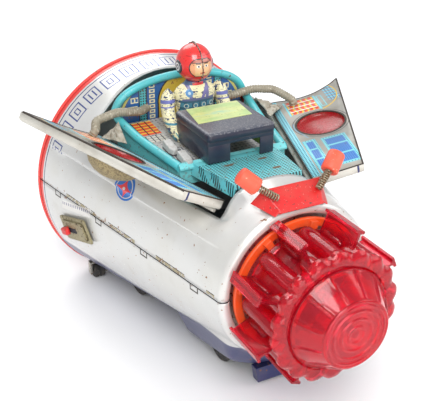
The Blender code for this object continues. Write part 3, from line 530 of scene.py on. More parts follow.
def upper_point(share, y, seam_z):
    radius = body_radius(y)
    centre = body_centre_z(y)
    seam = math.acos((seam_z - centre) / radius)
    crease = math.acos((CREASE_Z - centre) / radius)
    lip = lip_point(y)
    if share <= 1.0:
        angle = seam + (crease - seam) * share
        return Vector((radius * math.sin(angle), centre + radius * math.cos(angle)))
    step = 1.2 * smooth_step((REAR_Y - y) / 20.0) * smooth_step((y - FRONT_Y) / 20.0)
    if share <= 2.0:
        local = share - 1.0
        edge = Vector((radius * math.sin(crease), centre + radius * math.cos(crease)))
        chord = edge.lerp(lip, local)
        offset = chord - Vector((0.0, centre))
        reach = offset.length + (radius - offset.length) * 4.0 * local * (1.0 - local) * 0.5
        rise = step * smooth_step(local * 9.0) * (1.0 - smooth_step(local * 1.6 - 0.6))
        return Vector((0.0, centre)) + offset.normalized() * (reach + rise)
    local = share - 2.0
    lip_angle = math.atan2(lip.x, lip.y - centre)
    lip_reach = (lip - Vector((0.0, centre))).length
    angle = lip_angle * (1.0 - local)
    reach = lip_reach + (radius - lip_reach) * smooth_step(local * 2.0)
    return Vector((reach * math.sin(angle), centre + reach * math.cos(angle)))


def pod_depth(x, y):
    across = smooth_step((34.0 - abs(x)) / 8.0)
    rear = smooth_step((11.0 - y) / 9.0)
    front = smooth_step((y + 58.0) / 12.0)
    return POD_DEPTH * across * rear * front


def lower_point(angle, y):
    radius = body_radius(y)
    centre = body_centre_z(y)
    x = radius * math.sin(angle)
    z = centre + radius * math.cos(angle)
    if z > AXIS_Z - 12.0:
        return Vector((x, z))
    z = z - pod_depth(x, y) - BELLY_Z
    return Vector((x, BELLY_Z + 0.5 * (z + math.hypot(z, 2.0))))


def lay_print(bm, uv):
    """Write each vertex's own (u, v) in mm to the print layer."""
    layer = bm.loops.layers.uv.new("print")
    for face in bm.faces:
        for loop in face.loops:
            loop[layer].uv = uv[loop.vert]


def grid(columns, rows):
    bm = bmesh.new()
    bmesh.ops.create_grid(bm, x_segments=columns, y_segments=rows, size=1.0)
    place = {}
    for vert in bm.verts:
        place[vert] = (round((vert.co.x + 1.0) / 2.0 * columns), round((vert.co.y + 1.0) / 2.0 * rows))
    return bm, place


def stations():
    """Rows of the shell: rear rim to front edge, then round the rolled collar."""
    marks = [REAR_Y, OPENING_REAR_Y, OPENING_FRONT_Y, FRONT_Y]
    counts = (10, 50, 10)
    rows = [REAR_Y]
    for high, low, count in zip(marks, marks[1:], counts):
        rows += [high + (low - high) * (i + 1) / count for i in range(count)]
    rows = [(y, 0.0) for y in rows]
    for step in range(1, 13):
        turn = math.pi * step / 12.0
        rows.append((FRONT_Y - COLLAR_R * math.sin(turn), COLLAR_R * (1.0 - math.cos(turn))))
    return rows


def shares():
    low = [i / 10 for i in range(11)]
    middle = [1.0 + s for s in (0.03, 0.06, 0.09, 0.12, 0.2, 0.3, 0.42, 0.55, 0.7, 0.85, 1.0)]
    high = [2.0 + s for s in (0.06, 0.12, 0.2, 0.3, 0.4, 0.5, 0.6, 0.7, 0.8, 0.9, 1.0)]
    return low + middle + high


def shell_look():
    look = Look("white_printed_tin", WHITE, 0.27, 0.25)
    y, z, x = look.y, look.z, look.x
    u, v = look.uv()
    long_stain = look.noise(26.0, 4.0, seed=2.0)
    look.paint(look.times(look.ramp(long_stain, 0.42, 0.75), 0.30), CREAM_WHITE)
    grey = look.noise(9.0, 5.0, seed=8.0)
    look.paint(look.times(look.ramp(grey, 0.5, 0.8), 0.18), (0.45, 0.42, 0.36))
    # rear band: red edge, thin line, outlined blocks
    band = look.over(y, 104.4)
    look.paint(band, RIM_RED)
    look.paint(look.near(y, 102.6, 0.4), NAVY)
    cell = look.repeat(u, 13.0)
    parity = look.over(look.math("FRACT", look.math("DIVIDE", u, 26.0)), 0.5)
    on_top = look.over(z, 92.0)
    outline = look.frame(cell, v, -4.8, 4.8, 88.4, 99.4, 0.85)
    hole = look.frame(cell, v, -1.8, 1.8, 91.2, 96.4, 0.75)
    bar = look.both(look.near(look.math("ABSOLUTE", cell), 1.6, 0.45), look.near(v, 94.0, 3.4))
    marks = look.either(outline, look.both(hole, parity), look.both(bar, look.outside(parity)))
    look.paint(look.both(marks, on_top), (0.035, 0.06, 0.22))
    # navy underside, rising slightly towards the nose
    edge = look.math("MULTIPLY_ADD", y, -0.052, 32.65)
    under = look.math("LESS_THAN", z, edge)
    look.paint(under, NAVY, 0.38)
    # round badge on the right flank
    du = look.minus(y, 23.9)
    dv = look.times(look.minus(z, 94.6), 1.35)
    right = look.under(x, -20.0)
    look.paint(look.both(look.disc(du, dv, 0.0, 0.0, 8.3), right), (0.03, 0.17, 0.55))
    look.paint(look.both(look.circle(du, dv, 0.0, 0.0, 6.6, 0.6), right), WHITE)
    across = look.math("SQRT", look.math("ABSOLUTE", du))
    upward = look.math("SQRT", look.math("ABSOLUTE", dv))
    star = look.under(look.plus(across, upward), 2.9)
    look.paint(look.both(star, right), (0.78, 0.05, 0.06))
    look.paint(look.both(look.disc(du, dv, 0.0, 0.0, 1.1), right), WHITE)
    # seam line, tab slots and worn strips above the seam
    seam = look.near(z, 70.2, 0.35)
    look.paint(seam, INK)
    for slot_y in (86.2, 42.0, -1.5, -43.5):
        tab = look.box(y, z, slot_y - 3.2, slot_y + 3.2, 66.6, 70.4)
        inner = look.box(y, z, slot_y - 2.4, slot_y + 2.4, 67.5, 71.0)
        look.paint(look.both(tab, look.outside(inner)), (0.05, 0.04, 0.03), 0.7)
    for low, high in ((45.5, 76.5), (6.5, 32.0), (-36.0, -12.0), (-59.0, -53.0)):
        worn = look.box(y, z, low, high, 70.6, 72.6)
        ragged = look.ramp(look.noise(2.2, 5.0, seed=4.0), 0.40, 0.50)
        look.paint(look.both(worn, ragged), TAN, 0.7)
        look.paint(look.both(look.box(y, z, low, high, 72.2, 72.7),
                             look.ramp(look.noise(1.5, 3.0), 0.40, 0.46)), INK)
    # label plate above the switch
    label = look.box(look.plus(y, look.times(z, 0.28)), look.plus(z, look.times(y, 0.2)),
                     70.0, 99.5, 77.3, 82.6)
    side = look.both(label, right)
    look.paint(side, (0.72, 0.70, 0.66))
    ticks = look.both(look.near(look.repeat(y, 2.1), 0.0, 0.35),
                      look.near(look.plus(z, look.times(y, 0.2)), 80.9, 0.9))
    look.paint(look.both(side, ticks), (0.1, 0.1, 0.22))
    # wear
    rim = look.ramp(look.math("ABSOLUTE", look.minus(z, 71.0)), 5.0, 0.0)
    look.chips(0.69, 2.6, 5.0, near=rim)
    look.chips(0.70, 1.6, 15.0, (0.16, 0.09, 0.05), near=look.edges())
    drips = look.noise(2.4, 5.0, seed=31.0, stretch=(1.0, 1.0, 0.22))
    look.paint(look.ramp(drips, 0.735, 0.75), RUST, 0.7)
    look.scratches((0.30, 0.27, 0.22), seed=19.0, share=0.73)
    look.bump(7.0, 0.25, 0.35)
    look.bump(0.5, 0.06, 0.03)
    return look.done(Coat_Weight=0.35, Coat_Roughness=0.15)


def opening_cut(y, share):
    """Rows beside the opening's rear edge lean forward towards its low ends."""
    span = OPENING_REAR_Y - LEAN_END_Y if y < OPENING_REAR_Y else REAR_Y - OPENING_REAR_Y
    window = smooth_step(1.0 - abs(y - OPENING_REAR_Y) / span)
    fade = (3.0 - share) ** 2 if share >= 2.0 else smooth_step((share - 1.2) / 0.8)
    return y - OPENING_LEAN * window * fade


def make_shells(look):
    rows = stations()
    columns = shares()
    half = len(columns) - 1
    lip_column = columns.index(2.0)
    seam_z = AXIS_Z + 0.15
    bm, place = grid(2 * half, len(rows) - 1)
    uv = {}
    for vert, (column, row) in place.items():
        side = -1.0 if column < half else 1.0
        share = columns[column if column < half else 2 * half - column]
        y, cut_back = rows[row]
        flat_y = y if cut_back == 0.0 and y >= FRONT_Y - 1e-6 else FRONT_Y
        if flat_y == y:
            y = opening_cut(y, share)
        flat = upper_point(share, FRONT_Y if flat_y == FRONT_Y else y, seam_z)
        angle = math.atan2(flat.x, flat.y - body_centre_z(flat_y))
        if flat_y == FRONT_Y:
            radius = FRONT_R - cut_back
            vert.co = Vector((side * radius * math.sin(angle), y, AXIS_Z + radius * math.cos(angle)))
        else:
            vert.co = Vector((side * flat.x, y, flat.y))
        uv[vert] = (side * angle * PRINT_R, vert.co.y)
    marks = [y for y, _ in rows]
    first, last = marks.index(OPENING_REAR_Y), marks.index(OPENING_FRONT_Y)
    lay_print(bm, uv)
    gone = []
    for face in bm.faces:
        cs = [place[v][0] for v in face.verts]
        rs = [place[v][1] for v in face.verts]
        between_lips = lip_column <= min(cs) and max(cs) <= 2 * half - lip_column
        if between_lips and first <= min(rs) and max(rs) <= last:
            gone.append(face)
    bmesh.ops.delete(bm, geom=gone, context="FACES")
    bmesh.ops.recalc_face_normals(bm, faces=bm.faces)
    upper = finish_piece("upper_shell_tin", bm, look, "body", ("upper_shell",), 28.0, merge=False)
    if upper.data.polygons[0].normal.x > 0.0:
        upper.data.flip_normals()
    wall(upper, SHELL_WALL)

    steps = 84
    seam_z = AXIS_Z - 0.15
    bm, place = grid(steps, len(rows) - 1)
    uv = {}
    for vert, (column, row) in place.items():
        y, cut_back = rows[row]
        inside = cut_back == 0.0 and y >= FRONT_Y - 1e-6
        base_y = y if inside else FRONT_Y
        seam = math.acos((seam_z - body_centre_z(base_y)) / body_radius(base_y))
        angle = seam + (math.tau - 2.0 * seam) * column / steps
        if inside:
            flat = lower_point(angle, y)
            vert.co = Vector((flat.x, y, flat.y))
        else:
            radius = FRONT_R - cut_back
            vert.co = Vector((radius * math.sin(angle), y, AXIS_Z + radius * math.cos(angle)))
        uv[vert] = (angle * PRINT_R, vert.co.y)
    lay_print(bm, uv)
    gone = []
    for face in bm.faces:
        spot = face.calc_center_median()
        if spot.z > 30.0:
            continue
        wheel = abs(abs(spot.x) - REAR_WHEEL_X) < 5.6 and abs(spot.y - REAR_AXLE_Y) < 17.5
        gear = abs(spot.x - 10.5) < 3.4 and abs(spot.y - REAR_AXLE_Y) < 12.0
        roller = abs(abs(spot.x) - ROLLER_X) < 7.0 and abs(spot.y - ROLLER_Y) < 6.4
        swivel = math.hypot(spot.x, spot.y - FRONT_AXLE_Y) < 24.2
        hatch = abs(spot.x) < 30.5 and 12.2 < spot.y < 42.0
        if wheel or gear or roller or swivel or hatch:
            gone.append(face)
    bmesh.ops.delete(bm, geom=gone, context="FACES")
    bmesh.ops.recalc_face_normals(bm, faces=bm.faces)
    lower = finish_piece("lower_shell_tin", bm, look, "body", ("lower_shell",), 28.0, merge=False)
    if lower.data.polygons[0].normal.x < 0.0:
        lower.data.flip_normals()
    wall(lower, SHELL_WALL)


def rear_outline(inset, y, count=96):
    points = []
    for step in range(count):
        angle = math.tau * step / count
        radius = REAR_R - inset
        z = REAR_Z + radius * math.cos(angle) - BELLY_Z - inset
        points.append((radius * math.sin(angle), y, BELLY_Z + inset + 0.5 * (z + math.hypot(z, 2.0))))
    return points


def make_rear_end():
    section = ((3.2, 0.3), (0.6, 0.2), (-0.4, 0.5), (-0.8, 1.5), (-0.4, 2.5), (0.6, 2.8), (3.2, 2.7))
    bm = closed_loft([rear_outline(inset, REAR_Y + y) for inset, y in section])
    look = Look("red_rim_tin", RIM_RED, 0.32)
    look.vary(12.0, 0.12).chips(0.64, 1.8, 3.0, near=look.edges()).scratches((0.5, 0.4, 0.35),
            stretch=(1, 1, 1))
    finish_piece("rear_rim_bead", bm, look.bump(0.5, 0.08, 0.03).done(), "body", ("rear_rim",))
    section = ((3.6, -5.0), (3.6, 0.0), (4.4, 0.8), (9.0, 0.8), (10.0, 1.2), (12.0, 2.6), (38.0, 4.6),
               (39.0, 4.2),
               (41.0, 4.2), (42.0, 4.6), (55.0, 4.9))
    bm = loft([rear_outline(inset, REAR_Y + y) for inset, y in section])
    look = Look("navy_rear_tin", NAVY, 0.36)
    reach = look.reach(look.x, look.z, 0.0, 64.0)
    outer = look.over(look.y, REAR_Y + 0.2)
    look.paint(look.both(look.near(reach, 61.0, 0.9), outer), RIM_RED)
    look.paint(look.both(look.near(reach, 44.0, 0.6), outer), PALE_CYAN)
    turn = look.math("ARCTAN2", look.x, look.minus(look.z, 64.0))
    spokes = look.near(look.repeat(turn, math.tau / 24), 0.0, 0.035)
    look.paint(look.both(spokes, look.near(reach, 52.5, 6.0), outer), YELLOW)
    look.paint(look.both(look.dots(look.x, look.z, 3.0, 0.7), look.under(reach, 33.0), outer),
               (0.3, 0.42, 0.6))
    look.paint(look.outside(outer), (0.30, 0.30, 0.29), 0.45)
    look.vary(15.0, 0.2).chips(0.67, 2.4, 6.0).bump(6.0, 0.2, 0.3)
    finish_piece("rear_cover_tin", bm, look.done(Coat_Weight=0.2), "body", ("rear_cover",))


# ------------------------------------------------------------ switch

def switch_frame():
    y = 66.8
    centre = Vector((0.0, y, body_centre_z(y)))
    outward = Vector((-65.6, y, 53.5)) - centre
    foot = centre + outward.normalized() * (body_radius(y) + 1.4)
    outward.y = -outward.length * (FRONT_R - REAR_R) / (FRONT_Y - REAR_Y)
    outward.normalize()
    long_way = Vector((0.0, -math.cos(math.radians(15.0)), math.sin(math.radians(15.0))))
    long_way = (long_way - outward * long_way.dot(outward)).normalized()
    return foot, outward, long_way, outward.cross(long_way).normalized()


def make_switch():
    foot, outward, long_way, short_way = switch_frame()

    def at(a, b, h):
        return foot + long_way * a + short_way * b + outward * h

    def pad(half_a, half_b, low, high, corner=2.0, shift=0.0):
        outline = corner_arcs(-half_a, half_a, -half_b, half_b, corner)
        return prism([at(shift + a, b, low) for a, b in outline], outward * (high - low))

    bm = pad(16.0, 7.6, -0.6, 0.9, 1.2)
    gather(pad(13.4, 5.6, 0.9, 2.1, 2.2, 0.6), bm)
    look = Look("olive_switch_tin", (0.33, 0.29, 0.17), 0.42, 0.55)
    look.vary(6.0, 0.4).chips(0.60, 1.6, 2.0, (0.12, 0.09, 0.05), near=look.edges()).bump(0.6, 0.25, 0.08)
    look.scratches((0.55, 0.5, 0.36), seed=3.0, share=0.66)
    plate = finish_piece("switch_base", bm, look.done(), "body", ("switch_plate",), merge=False)
    soften(plate, 0.35)
    slot = pad(8.6, 1.5, 1.9, 2.25, 1.2, -4.0)
    finish_piece("switch_slot", slot, Look("slot_black", INK, 0.8).vary(3.0, 0.1).done(), "body")
    spot = -6.5
    profile = [(-1.3, -0.5), (1.3, -0.5), (1.5, 2.6), (3.6, 3.0), (3.9, 4.2), (2.9, 5.6), (-2.9, 5.6),
               (-3.9, 4.2),
               (-3.6, 3.0), (-1.5, 2.6)]
    bm = prism([at(spot + a, -2.0, h) for a, h in profile], short_way * 4.0)
    look = Look("red_lever", (0.66, 0.02, 0.02), 0.35)
    look.vary(3.0, 0.25).chips(0.62, 1.0, 7.0, (0.3, 0.05, 0.04), near=look.edges()).bump(0.5, 0.15, 0.05)
    lever = finish_piece("switch_knob", bm, look.done(), "switch", ("switch_lever",))
    soften(lever, 0.5, 3)


# ------------------------------------------------------------ doors

DOOR_REAR = [(22.0, 0.0), (22.4, 4.8), (24.8, 13.0), (25.2, 20.0), (24.0, 27.0), (21.4, 33.0), (16.8, 40.4),
             (11.8, 46.0)]
DOOR_FRONT = [(116.4, 27.0), (118.6, 0.0)]
LENS_S = 62.0
LENS_Q = 21.0
LENS_R = 14.6
PAN_SETBACK = 0.8


def door_frame(side):
    mirror = Vector((side, 1.0, 1.0))
    along = (HINGE_FRONT - HINGE_REAR).normalized()
    flat = along.cross(Vector((0.0, 0.0, 1.0))).normalized()
    flat = flat if flat.x > 0.0 else -flat
    rise = flat.cross(along).normalized()
    rise = rise if rise.z > 0.0 else -rise
    angle = math.radians(DOOR_OPEN[side])
    outward = flat * math.cos(angle) + rise * math.sin(angle)
    inner = rise * math.cos(angle) - flat * math.sin(angle)
    return tuple(v * mirror for v in (HINGE_REAR, along, outward, inner))


def door_point(side, s, q, height=0.0):
    origin, along, outward, inner = door_frame(side)
    return origin + along * s + outward * q + inner * height


def door_outline():
    return [tuple(p[:2]) for p in smooth_path([(s, q, 0.0) for s, q in DOOR_REAR], 3)] + DOOR_FRONT


def liner_look():
    look = Look("printed_liner", (0.40, 0.39, 0.35), 0.42)
    u, v = look.uv()
    look.vary(8.0, 0.35)
    # dotted strip along the hinge
    strip = look.box(u, v, 23.0, 117.0, 0.4, 4.6)
    look.paint(strip, (0.24, 0.62, 0.70))
    look.paint(look.both(strip, look.dots(u, v, 1.5, 0.42)), (0.02, 0.08, 0.16))
    # two framed window grids towards the front
    for low, high, near_v, far_v in ((78.5, 115.0, 5.4, 12.6), (80.0, 112.0, 15.4, 29.0)):
        outer = look.box(u, v, low, high, near_v, far_v)
        look.paint(outer, PALE_CYAN)
        look.paint(look.both(outer, look.dots(u, v, 1.6, 0.36)), (0.02, 0.2, 0.3))
        inner = look.box(u, v, low + 2.2, high - 2.2, near_v + 1.7, far_v - 1.7)
        look.paint(inner, (0.035, 0.13, 0.42))
        mesh = look.either(look.near(look.repeat(u, 1.1), 0.0, 0.18),
                           look.near(look.repeat(v, 1.1), 0.0, 0.18))
        look.paint(look.both(inner, mesh), (0.10, 0.28, 0.62))
        bars = look.near(look.repeat(look.plus(u, 4.0), 11.0), 0.0, 0.7)
        look.paint(look.both(inner, bars), PALE_CYAN)
    # striped engine diagram at the rear
    engine = look.box(u, v, 27.5, 45.0, 9.0, 25.5)
    wave = look.plus(v, look.times(look.math("SINE", look.times(u, 0.7)), 0.5))
    ribs = look.repeat(wave, 3.3)
    look.paint(look.both(engine, look.near(ribs, -0.6, 0.95)), (0.78, 0.10, 0.04))
    look.paint(look.both(engine, look.near(ribs, 0.75, 0.45)), YELLOW)
    rails = look.near(look.repeat(look.plus(u, 1.2), 5.0), 0.0, 0.42)
    look.paint(look.both(engine, rails), (0.80, 0.78, 0.72))
    look.paint(look.both(engine, look.near(look.repeat(u, 5.0), 0.4, 0.18)), INK)
    side_rails = look.either(look.near(v, 8.2, 0.5), look.near(v, 26.6, 0.6))
    look.paint(look.both(side_rails, look.near(u, 36.5, 9.5)), PALE_CYAN)
    look.paint(look.frame(u, v, 28.5, 43.0, 27.6, 31.0, 0.6), PALE_CYAN)
    # block of dials by the rear corner
    block_mask = look.box(u, v, 19.0, 37.5, 33.5, 41.0)
    slant = look.under(look.minus(v, look.times(u, 0.22)), 34.6)
    cells = look.near(look.repeat(u, 3.6), 0.0, 1.2)
    look.paint(look.both(block_mask, cells, slant), (0.25, 0.62, 0.74))
    look.paint(look.both(block_mask, look.dots(u, v, 1.8, 0.5), slant), (0.05, 0.16, 0.40))
    curve = look.reach(u, v, 27.0, 20.0, 1.0)
    look.paint(look.both(look.near(curve, 20.6, 0.35), look.over(v, 27.0), look.under(u, 47.0)), YELLOW)
    look.paint(look.circle(u, v, LENS_S, LENS_Q, LENS_R + 1.2, 0.5), (0.12, 0.10, 0.10))
    pipes = look.near(look.minus(v, look.times(look.math("SINE", look.times(u, 0.18)), 2.0)), 8.0, 0.4)
    look.paint(look.both(pipes, look.near(u, 66.0, 10.0)), (0.30, 0.42, 0.50))
    look.chips(0.715, 2.0, 4.0).chips(0.72, 0.9, 24.0, (0.2, 0.15, 0.1))
    look.scratches((0.34, 0.31, 0.25), seed=14.0, share=0.74, stretch=(1, 1, 1))
    look.bump(5.0, 0.25, 0.3).bump(0.4, 0.08, 0.03)
    return look.done()


def skin_look():
    look = Look("white_door_tin", (0.58, 0.56, 0.50), 0.36)
    u, v = look.uv()
    look.vary(10.0, 0.25)
    line = look.minus(v, look.times(u, -0.16))
    look.paint(look.both(look.near(line, 42.6, 0.55), look.over(u, 30.0)), NAVY)
    speck = look.noise(1.6, 6.0, seed=21.0)
    look.chips(0.70, 2.2, 10.0, (0.14, 0.07, 0.03))
    look.paint(look.ramp(speck, 0.70, 0.72), (0.26, 0.16, 0.09), 0.7)
    look.scratches((0.4, 0.33, 0.24), seed=24.0, share=0.72, stretch=(1, 1, 1))
    look.bump(2.2, 0.35, 0.25).bump(0.5, 0.12, 0.05)
    return look.done(Coat_Weight=0.15)


def make_door(side, prefix, body, liner, skin, lens, gold, rubber):
    origin, along, outward, inner = door_frame(side)
    outline = door_outline()

    def place(bm):
        """Move a door drawn flat as (s, q, height) to where it hangs, keeping s and q as its print layer."""
        set_uv(bm, lambda co: (co.x, co.y))
        for vert in bm.verts:
            vert.co = origin + along * vert.co.x + outward * vert.co.y + inner * vert.co.z
        return bm

    # outer pressing: a shallow pan that bulges away from the liner, with turned-up walls
    bm = bmesh.new()
    loops = []
    centre = Vector((70.0, 16.0, 0.0))
    for shrink, height in ((0.0, DOOR_THICK - 0.6), (0.0, 1.3), (0.012, 0.5), (0.05, 0.1), (0.2, -0.5),
                           (0.45, -1.1), (0.75, -1.5)):
        points = []
        for s, q in outline:
            spot = Vector((s, q, 0.0)).lerp(centre, shrink)
            points.append((spot.x, max(spot.y, PAN_SETBACK), height))
        loops.append(points)
    loft(loops, caps=False, bm=bm)
    bm.edges.ensure_lookup_table()
    rim = [e for e in bm.edges if len(e.link_faces) == 1 and all(v.co.z < -1.4 for v in e.verts)]
    bmesh.ops.triangle_fill(bm, edges=rim, use_beauty=True)
    pan = finish_piece(f"{prefix}_door_pan", place(bm), skin, body, (f"{prefix}_door_skin",), 40.0)
    wall(pan, 0.7, 0.0)

    # printed liner with a round hole for the lens and a rolled edge
    bm = bmesh.new()
    _, edges = ring_edges(bm, [(s, q, DOOR_THICK - 0.5) for s, q in outline])
    hole = [(LENS_S + (LENS_R - 0.9) * math.cos(math.tau * i / 48),
             LENS_Q + (LENS_R - 0.9) * math.sin(math.tau * i / 48),
             DOOR_THICK - 0.5) for i in range(48)]
    _, inner_edges = ring_edges(bm, hole)
    bmesh.ops.triangle_fill(bm, edges=edges + inner_edges, use_beauty=True)
    sheet = finish_piece(f"{prefix}_door_print", place(bm), liner, body, (f"{prefix}_door_liner",), 40.0)
    wall(sheet, 0.6, 0.0)
    rim_path = [(s, q, DOOR_THICK - 0.55) for s, q in outline]
    bead = []
    count = len(rim_path)
    for index in range(count):
        before = Vector(rim_path[index - 1])
        after = Vector(rim_path[(index + 1) % count])
        heading = (after - before).normalized()
        across = heading.cross(Vector((0.0, 0.0, 1.0))).normalized()
        spot = Vector(rim_path[index])
        bead.append([spot + across * 0.55 * math.cos(math.tau * k / 8) + Vector((0.0, 0.0,
                0.6 * math.sin(math.tau * k / 8)))
                     for k in range(8)])
    finish_piece(f"{prefix}_door_edge_bead", place(closed_loft(bead)), rubber, body, (), 60.0)

    # lens well: a dished red window, and the gilt bowl that bulges out of the outer skin
    spot = (LENS_S, LENS_Q, 0.0)
    profile = [(0.0, -0.2), (5.0, 0.0), (10.0, 0.7), (13.0, 1.7), (LENS_R - 0.3, 2.7), (LENS_R - 0.3, 4.4),
               (LENS_R - 1.2, 4.4),
               (LENS_R - 1.4, 3.2), (12.3, 2.6), (9.6, 1.7), (5.0, 1.1), (0.0, 0.9)]
    bm = turned(profile, 48, spot, (0.0, 0.0, 1.0))
    finish_piece(f"{prefix}_door_window", place(bm), lens, body, (f"{prefix}_door_lens",), 60.0)
    profile = [(0.0, -8.4), (5.0, -8.0), (9.5, -6.4), (12.8, -3.8), (14.6, -1.0), (15.2, 0.6), (14.4, 0.8),
               (13.6, -0.8),
               (11.8, -3.2), (8.8, -5.6), (4.8, -7.0), (0.0, -7.4)]
    bm = turned(profile, 40, spot, (0.0, 0.0, 1.0))
    finish_piece(f"{prefix}_door_bowl", place(bm), gold, body, (), 60.0)
    bm = turned([(LENS_R - 1.1, 4.35), (LENS_R - 0.1, 4.35), (LENS_R - 0.1, 5.15), (LENS_R - 1.1, 5.15)], 48,
                spot, (0.0, 0.0, 1.0))
    finish_piece(f"{prefix}_door_gasket", place(bm), rubber, body, (), 40.0)

    # hinge barrel in five knuckles
    bm = bmesh.new()
    for k in range(5):
        low = 24.0 + 18.6 * k
        turned([(0.0, 0.0), (1.0, 0.0), (1.15, 0.3), (1.15, 16.9), (1.0, 17.2), (0.0, 17.2)], 16,
               (low, 0.0, -1.4), (1.0, 0.0, 0.0), bm)
    finish_piece(f"{prefix}_door_hinge", place(bm), skin, body, (f"{prefix}_hinge_pin",), 40.0)


def make_doors():
    liner = liner_look()
    skin = skin_look()
    look = Look("red_window", (0.50, 0.006, 0.012), 0.18)
    look.vary(5.0, 0.25).bump(3.0, 0.2, 0.2)
    lens = look.done(Transmission_Weight=0.35, IOR=1.45)
    look = Look("gilt_bowl", (0.36, 0.29, 0.15), 0.55, 0.35)
    grain = look.noise(0.9, 4.0, seed=5.0)
    look.paint(look.ramp(grain, 0.45, 0.6), (0.20, 0.15, 0.08)).vary(5.0, 0.3)
    look.bump(0.9, 0.8, 0.5, grain)
    gold = look.done()
    rubber = Look("dark_gasket", (0.03, 0.022, 0.018), 0.6).vary(2.0, 0.2).done()
    for side, prefix in SIDES:
        make_door(side, prefix, f"{prefix}_door", liner, skin, lens, gold, rubber)


# ------------------------------------------------------------ cockpit

FLOOR_Z = 104.0
SEAT_Y = 64.5


def cyan_look():
    look = Look("cyan_tin", CYAN, 0.34)
    look.vary(9.0, 0.22).chips(0.655, 2.0, 2.0, (0.10, 0.10, 0.09), near=look.edges())
    # painted highlight: convex edges blended half way to pale cyan, where light catches the rolled rims
    look.paint(look.times(look.edges(), 0.5), (0.30, 0.74, 0.74))
    look.scratches((0.35, 0.5, 0.48), seed=6.0, share=0.7, stretch=(1, 1, 1))
    look.bump(4.0, 0.15, 0.2).bump(0.5, 0.06, 0.03)
    return look.done(Coat_Weight=0.25)


def floor_look():
    look = Look("printed_floor", (0.42, 0.42, 0.41), 0.42)
    x, y = look.x, look.y
    look.vary(7.0, 0.3)
    look.paint(look.both(look.dots(x, y, 2.4, 0.7), look.over(look.noise(8.0, 2.0), 0.5)), (0.2, 0.2, 0.22))
    for low_x, high_x in ((-40.0, -24.0), (21.0, 36.0)):
        panel = look.box(x, y, low_x, high_x, 43.0, 60.0)
        look.paint(panel, (0.70, 0.08, 0.03))
        look.paint(look.both(panel, look.near(look.repeat(y, 3.4), 0.0, 0.55)), YELLOW)
        look.paint(look.both(panel, look.near(look.repeat(x, 4.2), 0.0, 0.35)), INK)
        keys = look.box(x, y, low_x, high_x, 34.0, 42.0)
        look.paint(look.both(keys, look.near(look.repeat(y, 2.6), 0.0, 0.8)), (0.60, 0.58, 0.50))
        look.paint(look.both(keys, look.near(look.repeat(x, 3.0), 0.0, 0.3)), INK)
    for low_x in (-31.0, 19.5):
        pad = look.box(x, y, low_x, low_x + 9.5, 6.0, 24.0)
        look.paint(pad, (0.16, 0.16, 0.17))
        look.paint(look.both(pad, look.frame(x, y, low_x + 1, low_x + 8.5, 7.0, 23.0, 0.5)), (0.6, 0.6, 0.58))
        look.paint(look.disc(x, y, low_x + 5.0, 28.5, 2.2), (0.1, 0.45, 0.5))
        look.paint(look.circle(x, y, low_x + 5.0, 28.5, 2.8, 0.5), INK)
    look.chips(0.63, 1.6, 4.0, (0.16, 0.12, 0.08)).scratches((0.6, 0.58, 0.5), seed=2.0, share=0.68,
                                                             stretch=(1, 1, 1))
    look.bump(3.0, 0.2, 0.15)
    return look.done()


def seat_look():
    """Back wall: blue wings with outlined blocks, a dotted column each side and a yellow seat."""
    look = Look("printed_seat", (0.02, 0.12, 0.36), 0.36)
    x, z = look.plus(look.x, -SHIFT_X), look.z
    ax = look.math("ABSOLUTE", x)
    for height, start, stop in ((121.5, 27.0, 33.0), (126.5, 26.5, 31.0)):
        look.paint(look.both(look.near(z, height, 1.6), look.near(ax, (start + stop) / 2,
                                                                  (stop - start) / 2)), CREAM)
        look.paint(look.both(look.near(z, height, 1.0), look.near(look.repeat(ax, 2.2), 0.0, 0.7)),
                   (0.03, 0.14, 0.4))
    column = look.near(ax, 23.6, 1.9)
    look.paint(column, CYAN)
    look.paint(look.both(column, look.dots(ax, z, 1.5, 0.45)), INK)
    look.paint(look.either(look.near(ax, 21.3, 0.3), look.near(ax, 25.9, 0.3)), INK)
    blocks = look.near(ax, 18.0, 1.7)
    look.paint(look.both(blocks, look.near(look.repeat(z, 3.0), 0.0, 1.1)), CREAM)
    look.paint(look.both(look.near(ax, 18.0, 0.9), look.near(look.repeat(z, 3.0), 0.0, 0.45)),
               (0.02, 0.12, 0.36))
    seat = look.both(look.under(look.reach(x, z, 0.0, 122.5, 0.92), 14.4), look.over(z, 100.0))
    tall = look.either(seat, look.both(look.under(ax, 14.2), look.under(z, 124.0)))
    look.paint(tall, MUSTARD)
    ring = look.both(look.near(look.reach(x, z, 0.0, 122.5, 0.92), 14.4, 0.4), look.over(z, 122.5))
    sides = look.both(look.near(ax, 14.3, 0.4), look.under(z, 123.0))
    look.paint(look.either(ring, sides), INK)
    glow = look.near(look.reach(x, z, 0.0, 116.0, 1.5), 37.4, 0.8)
    look.paint(look.both(glow, look.over(z, 118.0)), (0.65, 0.62, 0.18))
    look.vary(8.0, 0.25).chips(0.64, 1.8, 3.0).scratches((0.4, 0.45, 0.5), seed=11.0, share=0.7,
                                                         stretch=(1, 1, 1))
    look.bump(4.0, 0.15, 0.15)
    return look.done(Coat_Weight=0.2)


def rail_points():
    """Centre line of the rolled rim: up one side, over the seat back and down the other."""
    side = [(-30.6, 1.5, 111.0), (-33.6, 17.0, 112.6), (-37.0, 36.7, 114.4), (-39.4, 51.0, 117.2),
            (-40.6, 60.0, 119.6)]
    arc = []
    for step in range(1, 16):
        angle = math.pi * (1.0 - step / 16)
        arc.append((40.2 * math.cos(angle), SEAT_Y, 119.6 + 18.2 * math.sin(angle) ** 0.85))
    return side + [(-40.6, 63.8, 121.4)] + arc + [(40.6, 63.8, 121.4)] + [(-x, y, z) for x, y,
            z in reversed(side)]


